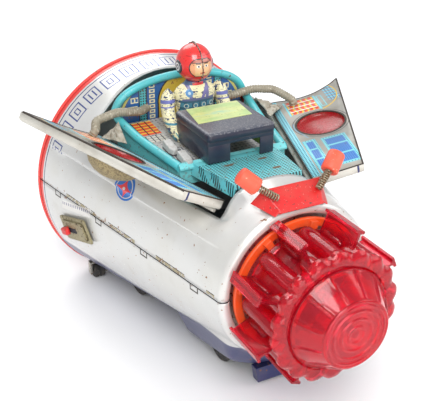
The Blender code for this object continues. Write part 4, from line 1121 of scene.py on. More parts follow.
def make_cockpit():
    cyan = cyan_look()
    rail = smooth_path(rail_points(), 4)
    bm = sweep(rail, 2.3, 14, flat=1.1)
    # skirt under the rail: the tray's outer wall
    for mirror in (-1.0, 1.0):
        wall_loops = []
        for x, y, z in ((30.6, 0.5, 111.0), (33.6, 17.0, 112.6), (37.0, 36.7, 114.4), (39.4, 51.0, 117.2),
                        (40.6, 61.5, 119.6)):
            low = FLOOR_Z - 2.6
            wall_loops.append([(mirror * (x + 0.6), y, z), (mirror * (x + 0.3), y, low),
                               (mirror * (x - 0.5), y, low),
                               (mirror * (x - 0.5), y, z)])
        gather(loft(wall_loops), bm)
    front = [(-31.0, 0.2, 101.6), (31.0, 0.2, 101.6), (31.0, 0.2, 112.2), (-31.0, 0.2, 112.2)]
    gather(prism(front, (0.0, 0.9, 0.0)), bm)
    plate = [(-30.8, 0.4), (30.8, 0.4), (37.0, 36.7), (40.6, 61.8), (-40.6, 61.8), (-37.0, 36.7)]
    gather(prism([(x, y, FLOOR_Z - 2.6) for x, y in plate], (0.0, 0.0, 1.0)), bm)
    finish_piece("cockpit_tray_tin", bm, cyan, "cockpit", ("cockpit_tray",), 40.0, merge=False)
    floor = [(-30.4, 1.3), (30.4, 1.3), (36.4, 36.7), (39.8, 61.6), (-39.8, 61.6), (-36.4, 36.7)]
    # raised printed floor that steps up to the rail's foot
    bm = prism([(x, y, FLOOR_Z + 1.2) for x, y in floor], (0.0, 0.0, 0.8))
    for vert in bm.verts:
        vert.co.z += 4.2 + 0.075 * vert.co.y
    finish_piece("cockpit_floor", bm, floor_look(), "cockpit", (), 40.0)
    # seat back: printed wall inside the rail, cyan outside behind it
    arch = [(38.6, SEAT_Y - 0.5, 106.0)]
    for step in range(25):
        angle = math.pi * step / 24
        arch.append((38.6 * math.cos(angle), SEAT_Y - 0.5, 119.8 + 16.8 * max(0.0, math.sin(angle)) ** 0.85))
    arch.append((-38.6, SEAT_Y - 0.5, 106.0))
    bm = prism(arch, (0.0, 0.9, 0.0))
    finish_piece("seat_back_print", bm, seat_look(), "cockpit", ("seat_back",), 40.0)
    back = [(x, SEAT_Y + 0.7, z) for x, _, z in arch]
    finish_piece("seat_back_shell", prism(back, (0.0, 0.7, 0.0)), cyan, "cockpit", (), 40.0)

    # apron in front of the tray, with four tab slots
    look = Look("dotted_apron", (0.15, 0.60, 0.64), 0.38)
    grid_dots = look.both(look.near(look.repeat(look.x, 1.75), 0.0, 0.5),
                          look.near(look.repeat(look.y, 1.75), 0.0, 0.5))
    look.paint(look.both(grid_dots, look.under(look.y, -5.5)), (0.01, 0.06, 0.07))
    look.vary(7.0, 0.25)
    for sx in (-11.5, 8.0):
        for sy in (-12.0, -26.0):
            look.paint(look.box(look.x, look.y, sx - 2.6, sx + 2.0, sy - 1.2, sy + 1.2), (0.16, 0.11, 0.07),
                       0.7)
    look.chips(0.65, 1.6, 4.0).bump(3.0, 0.2, 0.15)
    apron_rows = [(0.0, 112.6, 23.8), (-4.9, 113.0, 23.6), (-20.0, 113.9, 21.2), (-35.5, 114.2, 18.9),
                  (-36.2, 112.6, 18.6)]
    strip = []
    for y, z, half in apron_rows:
        strip.append([(-half, y, z), (half, y, z), (half, y, z - 0.8), (-half, y, z - 0.8)])
    bm = loft(strip)
    for mirror in (-1.0, 1.0):
        flange = [(mirror * 23.8, 0.0, 113.0), (mirror * 18.9, -35.5, 114.2), (mirror * 19.6, -35.0, 107.5),
                  (mirror * 25.2, 0.0, 106.5)]
        gather(prism(flange, (-mirror * 0.7, 0.0, 0.0)), bm)
    finish_piece("cockpit_apron_tin", bm, look.done(Coat_Weight=0.2), "cockpit", ("cockpit_apron",), 35.0,
                 merge=False)
    # cross bar of the tray that the apron hooks on
    bm = prism([(-31.5, -1.2, 111.2), (31.5, -1.2, 111.2), (31.5, 1.8, 113.4), (-31.5, 1.8, 113.4)],
               (0.0, 0.0, -0.9))
    finish_piece("tray_front_lip", bm, cyan, "cockpit")


def floor_top(y):
    return FLOOR_Z + 6.2 + 0.075 * y


def make_boots():
    """Two pale boots on the floor beside the console, toes to the front."""
    look = Look("pale_boot", (0.52, 0.52, 0.50), 0.4)
    look.paint(look.under(look.math("MULTIPLY_ADD", look.y, -0.075, look.z), 111.3), (0.10, 0.10, 0.11))
    look.vary(2.0, 0.3).chips(0.68, 1.0, 2.0).bump(0.6, 0.2, 0.06)
    tin = look.done(Coat_Weight=0.2)
    bm = bmesh.new()
    for x, y in ((-26.5, 21.0), (-25.0, 6.5)):
        outline = [(x - 2.7, y + 5.5), (x - 2.9, y - 3.0), (x - 1.6, y - 6.0), (x + 1.6, y - 6.0),
                   (x + 2.9, y - 3.0), (x + 2.7, y + 5.5)]
        ground = floor_top(y)
        sole = prism([(px, py, ground) for px, py in outline], (0.0, 0.0, 5.0))
        for vert in sole.verts:
            if vert.co.z > ground + 2.0:
                slope = (vert.co.y - y + 6.0) / 11.5
                vert.co.z -= 1.9 * (1.0 - slope)
                vert.co.x = x + (vert.co.x - x) * 0.8
        gather(sole, bm)
    boots = finish_piece("astronaut_boots", bm, tin, "cockpit", (), 40.0, merge=False)
    soften(boots, 0.5, 3)


def make_console():
    look = Look("console_tin", DEEP_NAVY, 0.34)
    dust = look.ramp(look.noise(1.0, 6.0, seed=3.0), 0.52, 0.62)
    look.paint(look.both(dust, look.over(look.z, 129.2)), (0.16, 0.165, 0.18), 0.55)
    # painted highlight: the whole top face blended a third of the way to light grey, for the light falling on
    # it
    look.paint(look.times(look.over(look.z, 129.4), 0.35), (0.16, 0.165, 0.19), 0.5)
    look.chips(0.73, 1.2, 8.0, (0.30, 0.30, 0.31)).vary(6.0, 0.06)
    look.scratches((0.10, 0.12, 0.17), seed=5.0, share=0.71, stretch=(1, 1, 1)).bump(0.7, 0.15, 0.06)
    tin = look.done(Coat_Weight=0.4, Coat_Roughness=0.2)
    # top: a pressed plate with rolled edges and a flat top for the screen
    bm = bmesh.new()
    loops = []
    for inset, z in ((0.4, 125.6), (0.0, 126.2), (0.0, 129.0), (0.5, 129.8), (1.4, 130.1), (2.4, 130.1)):
        x0, x1, y0, y1 = -19.5 + inset, 19.5 - inset, -8.6 + inset, 30.8 - inset
        r = 2.2 - min(1.6, inset)
        loops.append([(x, y, z) for x, y in corner_arcs(x0, x1, y0, y1, r)])
    bm = loft(loops)
    finish_piece("console_top_tin", bm, tin, "cockpit", ("console_top",), 45.0)
    # legs: two front cheeks and two side panels that wrap back
    bm = bmesh.new()
    low = 113.9
    for x0, x1 in ((-18.9, -6.4), (11.0, 18.9)):
        gather(block((x0, -7.6, low), (x1, -6.7, 123.6), 0.2), bm)
    gather(block((-18.95, -7.65, 123.2), (18.95, -6.6, 126.3), 0.2), bm)
    for x0, x1 in ((-18.9, -18.0), (18.0, 18.9)):
        gather(block((x0, -7.3, low), (x1, 29.6, 126.2), 0.2), bm)
    gather(block((-18.2, 28.8, 118.0), (18.2, 29.6, 126.2), 0.25), bm)
    finish_piece("console_legs_tin", bm, tin, "cockpit", ("console_legs",), 40.0, merge=False)
    look = Look("green_print", (0.42, 0.60, 0.22), 0.35)
    streak = look.noise(7.0, 4.0, seed=4.0, stretch=(0.35, 1.0, 1.0))
    look.paint(look.ramp(streak, 0.35, 0.6), (0.62, 0.68, 0.26))
    look.paint(look.ramp(streak, 0.55, 0.75), (0.30, 0.62, 0.45))
    look.vary(6.0, 0.15).chips(0.66, 1.2, 3.0, (0.16, 0.18, 0.10)).bump(3.0, 0.1, 0.1)
    screen = [(-16.9, 7.5), (14.5, 7.5), (17.0, 29.2), (-13.5, 29.2)]
    bm = prism([(x, y, 130.05) for x, y in screen], (0.0, 0.0, 0.25))
    finish_piece("console_screen_print", bm, look.done(Coat_Weight=0.5), "cockpit", ("console_screen",))
    # lime inner box seen between the legs
    look = Look("lime_inner", (0.42, 0.62, 0.14), 0.45)
    look.vary(5.0, 0.3).chips(0.64, 1.4, 2.0)
    bm = block((-17.6, -5.2, 114.2), (-16.9, 27.0, 125.0), 0.1)
    gather(block((16.9, -5.2, 114.2), (17.6, 27.0, 125.0), 0.1), bm)
    finish_piece("console_inner_print", bm, look.done(), "cockpit", (), merge=False)


# ------------------------------------------------------------ astronaut

def oval(cx, cy, half_x, half_y, z, count=36, square=2.0):
    points = []
    for i in range(count):
        angle = math.tau * i / count
        c, s = math.cos(angle), math.sin(angle)
        points.append((cx + half_x * math.copysign(abs(c) ** (2.0 / square), c),
                       cy + half_y * math.copysign(abs(s) ** (2.0 / square), s), z))
    return points


def suit_look():
    look = Look("printed_suit", CREAM, 0.38)
    x, y, z = look.plus(look.x, -SHIFT_X), look.y, look.z
    ax = look.math("ABSOLUTE", x)
    front = look.under(y, 46.0)
    # folds drawn on the tin
    fold = look.noise(4.2, 2.0, seed=4.0, stretch=(1.0, 1.0, 2.2))
    look.paint(look.both(look.near(fold, 0.5, 0.016), look.under(z, 136.5)), (0.06, 0.07, 0.16))
    shade = look.noise(5.0, 2.0, seed=14.0, stretch=(1.0, 1.0, 1.6))
    look.paint(look.both(look.over(shade, 0.60), look.under(z, 137.5)), (0.035, 0.06, 0.13))
    # shoulder straps, harness and chest pack
    strap = look.near(look.plus(ax, look.times(z, -0.12)), -10.9, 1.0)
    look.paint(look.both(strap, look.over(z, 124.0)), (0.13, 0.13, 0.32))
    slant = look.near(look.plus(look.times(x, 0.8), look.times(z, -0.42)), -53.5, 0.8)
    look.paint(look.both(slant, look.over(x, 0.5), front), (0.16, 0.14, 0.36))
    pack = look.both(look.near(x, -0.5, 9.8), look.near(z, 124.6, 5.6), front)
    look.paint(pack, (0.02, 0.10, 0.16))
    look.paint(look.both(pack, look.near(look.repeat(x, 4.0), 0.0, 1.4),
                         look.near(look.repeat(z, 3.7), 0.0, 1.2)), (0.05, 0.22, 0.30))
    look.paint(look.both(pack, look.circle(look.repeat(x, 5.0), z, 0.0, 127.2, 1.1, 0.4)), (0.55, 0.62, 0.55))
    belt = look.both(look.near(z, 130.6, 0.6), look.under(ax, 9.5), front)
    look.paint(belt, (0.10, 0.12, 0.25))
    look.paint(look.both(look.disc(x, z, -5.6, 134.2, 2.1), front), (0.03, 0.22, 0.50))
    look.paint(look.both(look.disc(x, z, -5.6, 134.2, 0.8), front), (0.45, 0.62, 0.75))
    # collar and crimped side seam
    look.paint(look.over(z, 138.2), (0.05, 0.10, 0.20))
    look.paint(look.both(look.near(z, 138.9, 0.8), look.under(y, 42.5), look.under(ax, 3.2)), RED)
    # bands on the arms
    arm = look.over(ax, 12.6)
    for height, half, tone in ((130.4, 1.0, (0.14, 0.16, 0.44)), (127.4, 0.35, (0.14, 0.16, 0.44)),
                               (119.6, 0.5, (0.04, 0.25, 0.36))):
        wavy = look.plus(z, look.times(y, 0.12))
        look.paint(look.both(look.near(wavy, height + 5.4, half), arm), tone)
    cuff = look.both(arm, look.under(z, 118.0), look.near(look.repeat(look.plus(x, look.times(z, 0.4)), 1.9),
                                                          0.0, 0.28))
    look.paint(cuff, (0.05, 0.28, 0.34))
    look.vary(7.0, 0.18).chips(0.66, 1.3, 5.0, (0.20, 0.14, 0.08), near=look.edges())
    look.bump(0.5, 0.08, 0.03)
    return look.done(Coat_Weight=0.35)


def helmet_look():
    look = Look("printed_helmet", (0.74, 0.02, 0.02), 0.22)
    u, v = look.uv()
    au = look.math("ABSOLUTE", u)
    # face window: skin print with an ink outline, a tinted upper pane and plain dot features
    open_mask = look.both(look.under(look.reach(u, v, 0.0, -2.0, 1.35), 41.0), look.over(v, -27.0),
                          look.under(v, 24.0))
    line = look.both(look.under(look.reach(u, v, 0.0, -2.0, 1.35), 44.5), look.over(v, -30.0),
                     look.under(v, 27.0))
    look.paint(line, INK)
    look.paint(open_mask, SKIN)
    shade = look.both(open_mask, look.over(au, 25.0))
    look.paint(look.times(shade, 0.5), (0.70, 0.20, 0.08))
    brow = look.both(look.near(v, 11.5, 1.7), look.near(au, 14.0, 8.0))
    eye = look.disc(au, v, 13.5, 4.0, 6.0, 1.6)
    look.paint(look.both(open_mask, eye), (0.85, 0.82, 0.75))
    look.paint(look.both(open_mask, look.disc(au, v, 13.0, 4.0, 3.1)), INK)
    look.paint(look.both(open_mask, brow), (0.12, 0.05, 0.02))
    look.paint(look.both(open_mask, look.near(v, -16.0, 1.9), look.under(au, 8.5)), (0.55, 0.04, 0.04))
    look.paint(look.both(open_mask, look.near(v, -4.0, 4.5), look.near(au, 2.6, 0.6)), (0.50, 0.25, 0.12))
    pane = look.both(open_mask, look.over(v, 14.0))
    look.paint(look.times(pane, 0.75), (0.36, 0.05, 0.06))
    frame_mask = look.both(open_mask, look.near(v, 14.0, 1.0))
    look.paint(frame_mask, INK)
    # ink lines on the shell
    look.paint(look.both(look.near(v, 34.0, 0.9), look.near(au, 30.0, 28.0)), (0.25, 0.0, 0.0))
    look.paint(look.both(look.near(look.plus(v, look.times(au, 0.3)), -40.0, 1.2), look.under(au, 62.0)), INK)
    look.chips(0.66, 1.2, 3.0, (0.12, 0.05, 0.03), near=look.edges()).vary(6.0, 0.1)
    look.bump(0.5, 0.08, 0.03)
    return look.done(Coat_Weight=0.7, Coat_Roughness=0.08)


def limb(points, radii, count=24, bm=None):
    path = smooth_path(points, 5)
    knots = len(points) - 1

    def radius(share, _):
        spot = min(knots - 1e-6, share * knots)
        low = int(spot)
        return radii[low] + (radii[low + 1] - radii[low]) * smooth_step(spot - low)

    return sweep(path, radius, count, bm=bm)


def make_astronaut():
    y = PILOT_Y
    suit = suit_look()
    sections = [(0, y - 3, 8.0, 8.6, 110.0, 2.4), (0, y - 2, 9.6, 8.4, 114.0, 2.4),
                (0, y - 1, 10.2, 7.8, 119.0, 2.4),
                (0, y, 10.4, 7.0, 123.5, 2.4), (0, y, 11.4, 6.8, 128.0, 2.3), (0, y, 12.4, 6.6, 131.5, 2.2),
                (0, y, 12.2, 6.3, 133.8, 2.1), (0, y, 10.6, 5.8, 135.8, 2.0), (0, y, 8.0, 5.2, 137.4, 2.0),
                (0, y - 0.4, 6.2, 4.9, 138.3, 2.0), (0, y - 0.6, 5.4, 4.7, 139.6, 2.0), (0, y - 0.6, 4.6, 4.0,
                        140.4, 2.0)]
    bm = loft([oval(cx, cy, hx, hy, z, 40, sq) for cx, cy, hx, hy, z, sq in sections])
    for side in (-1, 1):
        thigh = limb([(side * 4.6, y - 4.0, 112.6), (side * 6.2, y - 13.0, 112.2),
                      (side * 8.0, y - 21.0, 110.6),
                      (side * 8.8, y - 24.0, 106.0)], (3.6, 3.6, 3.2, 2.6))
        gather(thigh, bm)
    finish_piece("astronaut_suit", bm, suit, "cockpit", ("astronaut_torso",), 60.0, merge=False)
    # crimped flange where the two pressed halves of the figure meet
    edge = []
    for cx, cy, hx, hy, z, sq in sections[2:9]:
        edge.append((cx - hx - 0.55, cy, z))
    ring = [(x, y + 0.25, z) for x, y, z in edge] + [(-x, y + 0.25, z) for x, y, z in reversed(edge)]
    finish_piece("astronaut_flange", prism(ring, (0.0, -0.5, 0.0)), suit, "cockpit", (), 40.0)
    for side, prefix in SIDES:
        path = [(side * 13.6, y, 134.6), (side * 15.6, y, 132.6), (side * 16.8, y - 1.0, 127.0),
                (side * 17.4, y - 4.5, 121.6),
                (side * 17.4, y - 10.0, 118.2), (side * 16.8, y - 14.2, 116.2)]
        bm = limb(path, (3.0, 4.1, 3.8, 3.7, 3.9, 3.3), 28)
        # gloved fist with three finger folds and a thumb
        fist = bmesh.new()
        bmesh.ops.create_uvsphere(fist, u_segments=24, v_segments=16, radius=1.0)
        for vert in fist.verts:
            groove = 1.0 - 0.09 * max(0.0, math.cos(vert.co.x * 9.5)) * (vert.co.z < 0.3)
            vert.co = Vector((vert.co.x * 4.0, vert.co.y * 4.4 * groove, vert.co.z * 4.3 * groove))
            vert.co += Vector((side * 16.6, y - 15.6, 115.8))
        gather(fist, bm)
        gather(limb([(side * 13.4, y - 14.6, 117.4), (side * 12.7, y - 17.0, 116.6),
                     (side * 13.2, y - 18.8, 115.2)],
                    (1.5, 1.4, 1.0), 14), bm)
        finish_piece(f"astronaut_{prefix}_sleeve", bm, suit, "cockpit", (f"astronaut_{prefix}_arm",), 60.0,
                     merge=False)
    # helmet: two pressed halves with a crimped seam over the crown
    centre = Vector((0.0, y, HELMET_Z))
    bm = bmesh.new()
    bmesh.ops.create_uvsphere(bm, u_segments=64, v_segments=40, radius=1.0)
    uv = {}
    for vert in bm.verts:
        d = vert.co.normalized()
        chin = 1.0 - 0.10 * smooth_step((-d.z - 0.45) * 2.0)
        jaw = 1.0 + 0.06 * smooth_step((-d.y - 0.3) * 2.0) * smooth_step((-d.z + 0.1) * 2.0)
        uv[vert.index] = (math.degrees(math.atan2(d.x, -d.y)),
                          math.degrees(math.asin(max(-1.0, min(1.0, d.z)))))
        seam = 0.25 * max(0.0, 1.0 - abs(d.x) * 26.0)
        vert.co = centre + Vector((d.x * 9.9 * chin, d.y * HELMET_R * jaw, d.z * HELMET_R))
        vert.co += d * seam
    layer = bm.loops.layers.uv.new("print")
    for face in bm.faces:
        values = [uv[loop.vert.index][0] for loop in face.loops]
        wrap = max(values) - min(values) > 180.0
        for loop in face.loops:
            u, v = uv[loop.vert.index]
            loop[layer].uv = (u + 360.0 if wrap and u < 0.0 else u, v)
    finish_piece("helmet_shell", bm, helmet_look(), "cockpit", ("astronaut_helmet",), 60.0)
    seam_look = Look("crimp_seam", (0.10, 0.015, 0.012), 0.45, 0.3)
    seam_look.chips(0.5, 1.0, 2.0, (0.34, 0.30, 0.26)).bump(0.5, 0.2, 0.05)
    crimp = seam_look.done()
    loops = []
    for step in range(40):
        angle = math.radians(-62.0 + 244.0 * step / 39)
        d = Vector((0.0, -math.cos(angle), math.sin(angle)))
        jaw = 1.0 + 0.06 * smooth_step((-d.y - 0.3) * 2.0) * smooth_step((-d.z + 0.1) * 2.0)
        spot = centre + Vector((0.0, d.y * HELMET_R * jaw, d.z * HELMET_R))
        out = spot + d * 0.55
        inside = spot - d * 0.4
        loops.append([inside + Vector((0.35, 0, 0)), out + Vector((0.28, 0, 0)), out - Vector((0.28, 0, 0)),
                      inside - Vector((0.35, 0, 0))])
    bm = loft(loops)
    tab = [(-0.35, y - 2.0, 159.6), (-0.35, y + 2.4, 159.6), (-0.35, y + 1.6, 161.0), (-0.35, y - 1.2, 161.0)]
    gather(prism(tab, (0.7, 0.0, 0.0)), bm)
    finish_piece("helmet_crimp", bm, crimp, "cockpit", (), 50.0, merge=False)
    ear = Look("ear_disc", INK, 0.3)
    reach = ear.reach(ear.y, ear.z, y - 0.4, 148.6)
    ear.paint(ear.near(reach, 1.9, 0.38), (0.75, 0.75, 0.72))
    ear.paint(ear.near(reach, 0.0, 0.6), (0.75, 0.75, 0.72))
    ear_look = ear.vary(2.0, 0.1).done(Coat_Weight=0.5)
    bm = bmesh.new()
    for side in (-1.0, 1.0):
        profile = [(0.0, 0.0), (3.6, 0.0), (3.7, 0.5), (3.4, 1.0), (2.6, 1.2), (0.0, 1.25)]
        turned(profile, 32, (side * 8.9, y - 0.4, 148.6), (side, 0.0, 0.0), bm)
    finish_piece("helmet_ears", bm, ear_look, "cockpit", (), 40.0, merge=False)


# ------------------------------------------------------------ hoses and gussets

def make_hoses():
    look = Look("ribbed_hose", (0.33, 0.30, 0.23), 0.5, 0.25)
    look.vary(5.0, 0.45)
    look.paint(look.ramp(look.noise(2.0, 4.0, seed=3.0), 0.55, 0.7), (0.52, 0.48, 0.38))
    hose = look.bump(0.6, 0.15, 0.05).done()

    def ribs(_, length):
        return HOSE_R + HOSE_RIB * math.sin(math.tau * length / HOSE_RIB_PITCH)

    for side, prefix in SIDES:
        foot = door_point(side, 31.0, 13.5, DOOR_THICK - 0.2)
        rise = door_point(side, 31.0, 12.6, DOOR_THICK + 3.4)
        crest = Vector((side * 49.0, 53.6, 124.3))
        route = [foot, rise, (side * 55.5, 52.5, 122.9), crest]
        tail = [crest, (side * 42.0, 55.6, 124.6), (side * 34.0, 57.2, 123.0), (side * 27.0, 59.6, 121.6),
                (side * 21.5, SEAT_Y, 121.0)]
        whole = smooth_path(route + tail[1:], 12)
        cut_at = min(range(len(whole)), key=lambda i: (whole[i] - crest).length)
        for label, path, body, gone in (("door", whole[:cut_at + 2], f"{prefix}_door", ()),
                                        ("seat", whole[cut_at:], "cockpit", (f"{prefix}_hose",))):
            dense = smooth_path(path, 3)
            finish_piece(f"{prefix}_hose_{label}_end", sweep(dense, ribs, 20), hose, body, gone, 60.0)


def make_gussets():
    look = Look("creased_cloth", (0.46, 0.43, 0.36), 0.85)
    look.vary(4.0, 0.5)
    weave = look.times(look.math("SINE", look.times(look.x, 9.0)), look.math("SINE", look.times(look.z, 9.0)))
    look.paint(look.ramp(look.noise(2.4, 4.0, seed=9.0), 0.5, 0.7), (0.24, 0.20, 0.15))
    look.bump(height=weave, strength=0.3, depth=0.1)
    cloth = look.done()
    for side, prefix in SIDES:
        top = Vector((side * 43.0, 53.0, 120.2))
        low_in = Vector((side * 44.4, 38.0, 113.2))
        low_out = door_point(side, 31.0, 6.5, DOOR_THICK + 0.3)
        back = Vector((side * 43.4, 60.0, 113.0))
        bm, place = grid(26, 20)
        for vert, (column, row) in place.items():
            u, v = column / 26, row / 20
            spot = low_in.lerp(low_out, u).lerp(top.lerp(back, u * 0.6), v)
            belly = math.sin(math.pi * u) * math.sin(math.pi * v)
            crease = noise.noise(Vector((u * 5.0, v * 4.0,
                                         side * 2.0))) * 2.6 + abs(noise.noise(Vector((u * 9.0, v * 7.0,
                                                 4.0)))) * 1.4
            vert.co = spot + Vector((side * 0.6, -1.0, 0.7)) * crease * (0.35 + belly) + Vector((side * 1.5,
                    -2.0, 1.5)) * belly
        gusset = finish_piece(f"{prefix}_gusset_cloth", bm, cloth, "cockpit", (f"{prefix}_gusset",), 180.0)
        wall(gusset, GUSSET_THICK, 0.0)


# ------------------------------------------------------------ antennas

ANTENNA_BASE = Vector((10.2, -60.6, 115.15))
ANTENNA_KNEE = Vector((19.4, -57.1, 122.3))
ANTENNA_TIP = Vector((26.6, -53.0, 128.8))


def make_antennas():
    look = Look("red_bracket_tin", (0.62, 0.012, 0.012), 0.32)
    look.vary(7.0, 0.15).chips(0.655, 1.3, 3.0, (0.12, 0.04, 0.03), near=look.edges())
    look.paint(look.ramp(look.noise(0.7, 2.0, seed=6.0), 0.71, 0.73), (0.75, 0.35, 0.3))
    look.bump(3.0, 0.2, 0.2).bump(0.4, 0.1, 0.03)
    bracket = look.done(Coat_Weight=0.4)
    rear, front = (15.6, -55.0, 119.5), (11.5, -64.6, 112.0)
    top = [(-rear[0], rear[1], rear[2]), (rear[0], rear[1], rear[2]), (front[0], front[1], front[2]),
           (-front[0], front[1], front[2])]
    bm = prism(top, (0.0, 0.0, -0.8))
    for side in (-1, 1):
        cheek = [Vector((side * 15.6, -55.0, 119.4)), Vector((side * 11.5, -64.6, 111.9)),
                 Vector((side * 14.6, -64.9, 109.8)),
                 Vector((side * 20.2, -52.2, 112.2))]
        gather(prism(cheek, (-side * 0.7, 0.0, -0.2)), bm)
    gather(prism([(-11.6, -64.5, 112.0), (11.6, -64.5, 112.0), (12.2, -65.2, 110.8), (-12.2, -65.2, 110.8)],
                 (0.0, 0.5, -0.5)), bm)
    gather(prism([(-15.6, -55.0, 119.4), (15.6, -55.0, 119.4), (17.6, -52.6, 113.4), (-17.6, -52.6, 113.4)],
                 (0.0, -0.7, 0.0)), bm)
    plate = finish_piece("antenna_saddle", bm, bracket, "body", ("antenna_bracket",), 30.0, merge=False)
    soften(plate, 0.25)
    steel = Look("rusty_wire", (0.36, 0.31, 0.22), 0.42, 0.75).vary(1.5, 0.5).chips(0.55, 0.8, 2.0).bump(0.4,
            0.2, 0.05).done()
    look = Look("coral_cap", (0.86, 0.10, 0.05), 0.42)
    look.vary(4.0, 0.15).scratches((0.95, 0.35, 0.25), share=0.66, stretch=(1, 1, 1)).bump(0.6, 0.15, 0.05)
    coral = look.done(Subsurface_Weight=0.08)
    for side, prefix in SIDES:
        mirror = Vector((side, 1.0, 1.0))
        base, knee, tip = ANTENNA_BASE * mirror, ANTENNA_KNEE * mirror, ANTENNA_TIP * mirror
        away = (tip - knee).normalized()
        body = f"{prefix}_antenna"
        bm = coil(base + Vector((side * 0.8, -0.9, 1.9)), knee + away * 1.2, COIL_R, COIL_WIRE, COIL_TURNS)
        finish_piece(f"{prefix}_antenna_coil", bm, steel, body, (f"{prefix}_antenna_spring",), 60.0)
        length = (tip - knee).length
        profile = [(0.0, 0.6), (2.0, 0.6), (2.2, 0.0), (3.7, 0.0), (4.15, 0.35), (4.3, 0.9),
                   (4.2, length - 1.0), (3.9, length - 0.35),
                   (3.2, length), (0.0, length)]
        finish_piece(f"{prefix}_antenna_tip", turned(profile, 40, knee, away), coral, body,
                     (f"{prefix}_antenna_cap",), 50.0)


# ------------------------------------------------------------ nose rotor

def around(angle, radius, y):
    return Vector((radius * math.sin(angle), y, AXIS_Z + radius * math.cos(angle)))


def dome_rod(angle, radius, reach, rear_y, front_y, bm, sides=24):
    """A half-buried rod with domed ends that lies along the drum."""
    centre = around(angle, reach, 0.0)
    count = 6
    loops = []
    for k in range(count + 1):
        turn = math.pi / 2 * k / count
        loops.append((rear_y - radius * (1.0 - math.cos(turn)), max(0.05, radius * math.sin(turn))))
    for k in range(count + 1):
        turn = math.pi / 2 * (1.0 - k / count)
        loops.append((front_y + radius * (1.0 - math.cos(turn)), max(0.05, radius * math.sin(turn))))
    rings = []
    for y, r in loops:
        rings.append([(centre.x + r * math.cos(math.tau * i / sides), y,
                       centre.z + r * math.sin(math.tau * i / sides))
                      for i in range(sides)])
    return gather(loft(rings), bm)


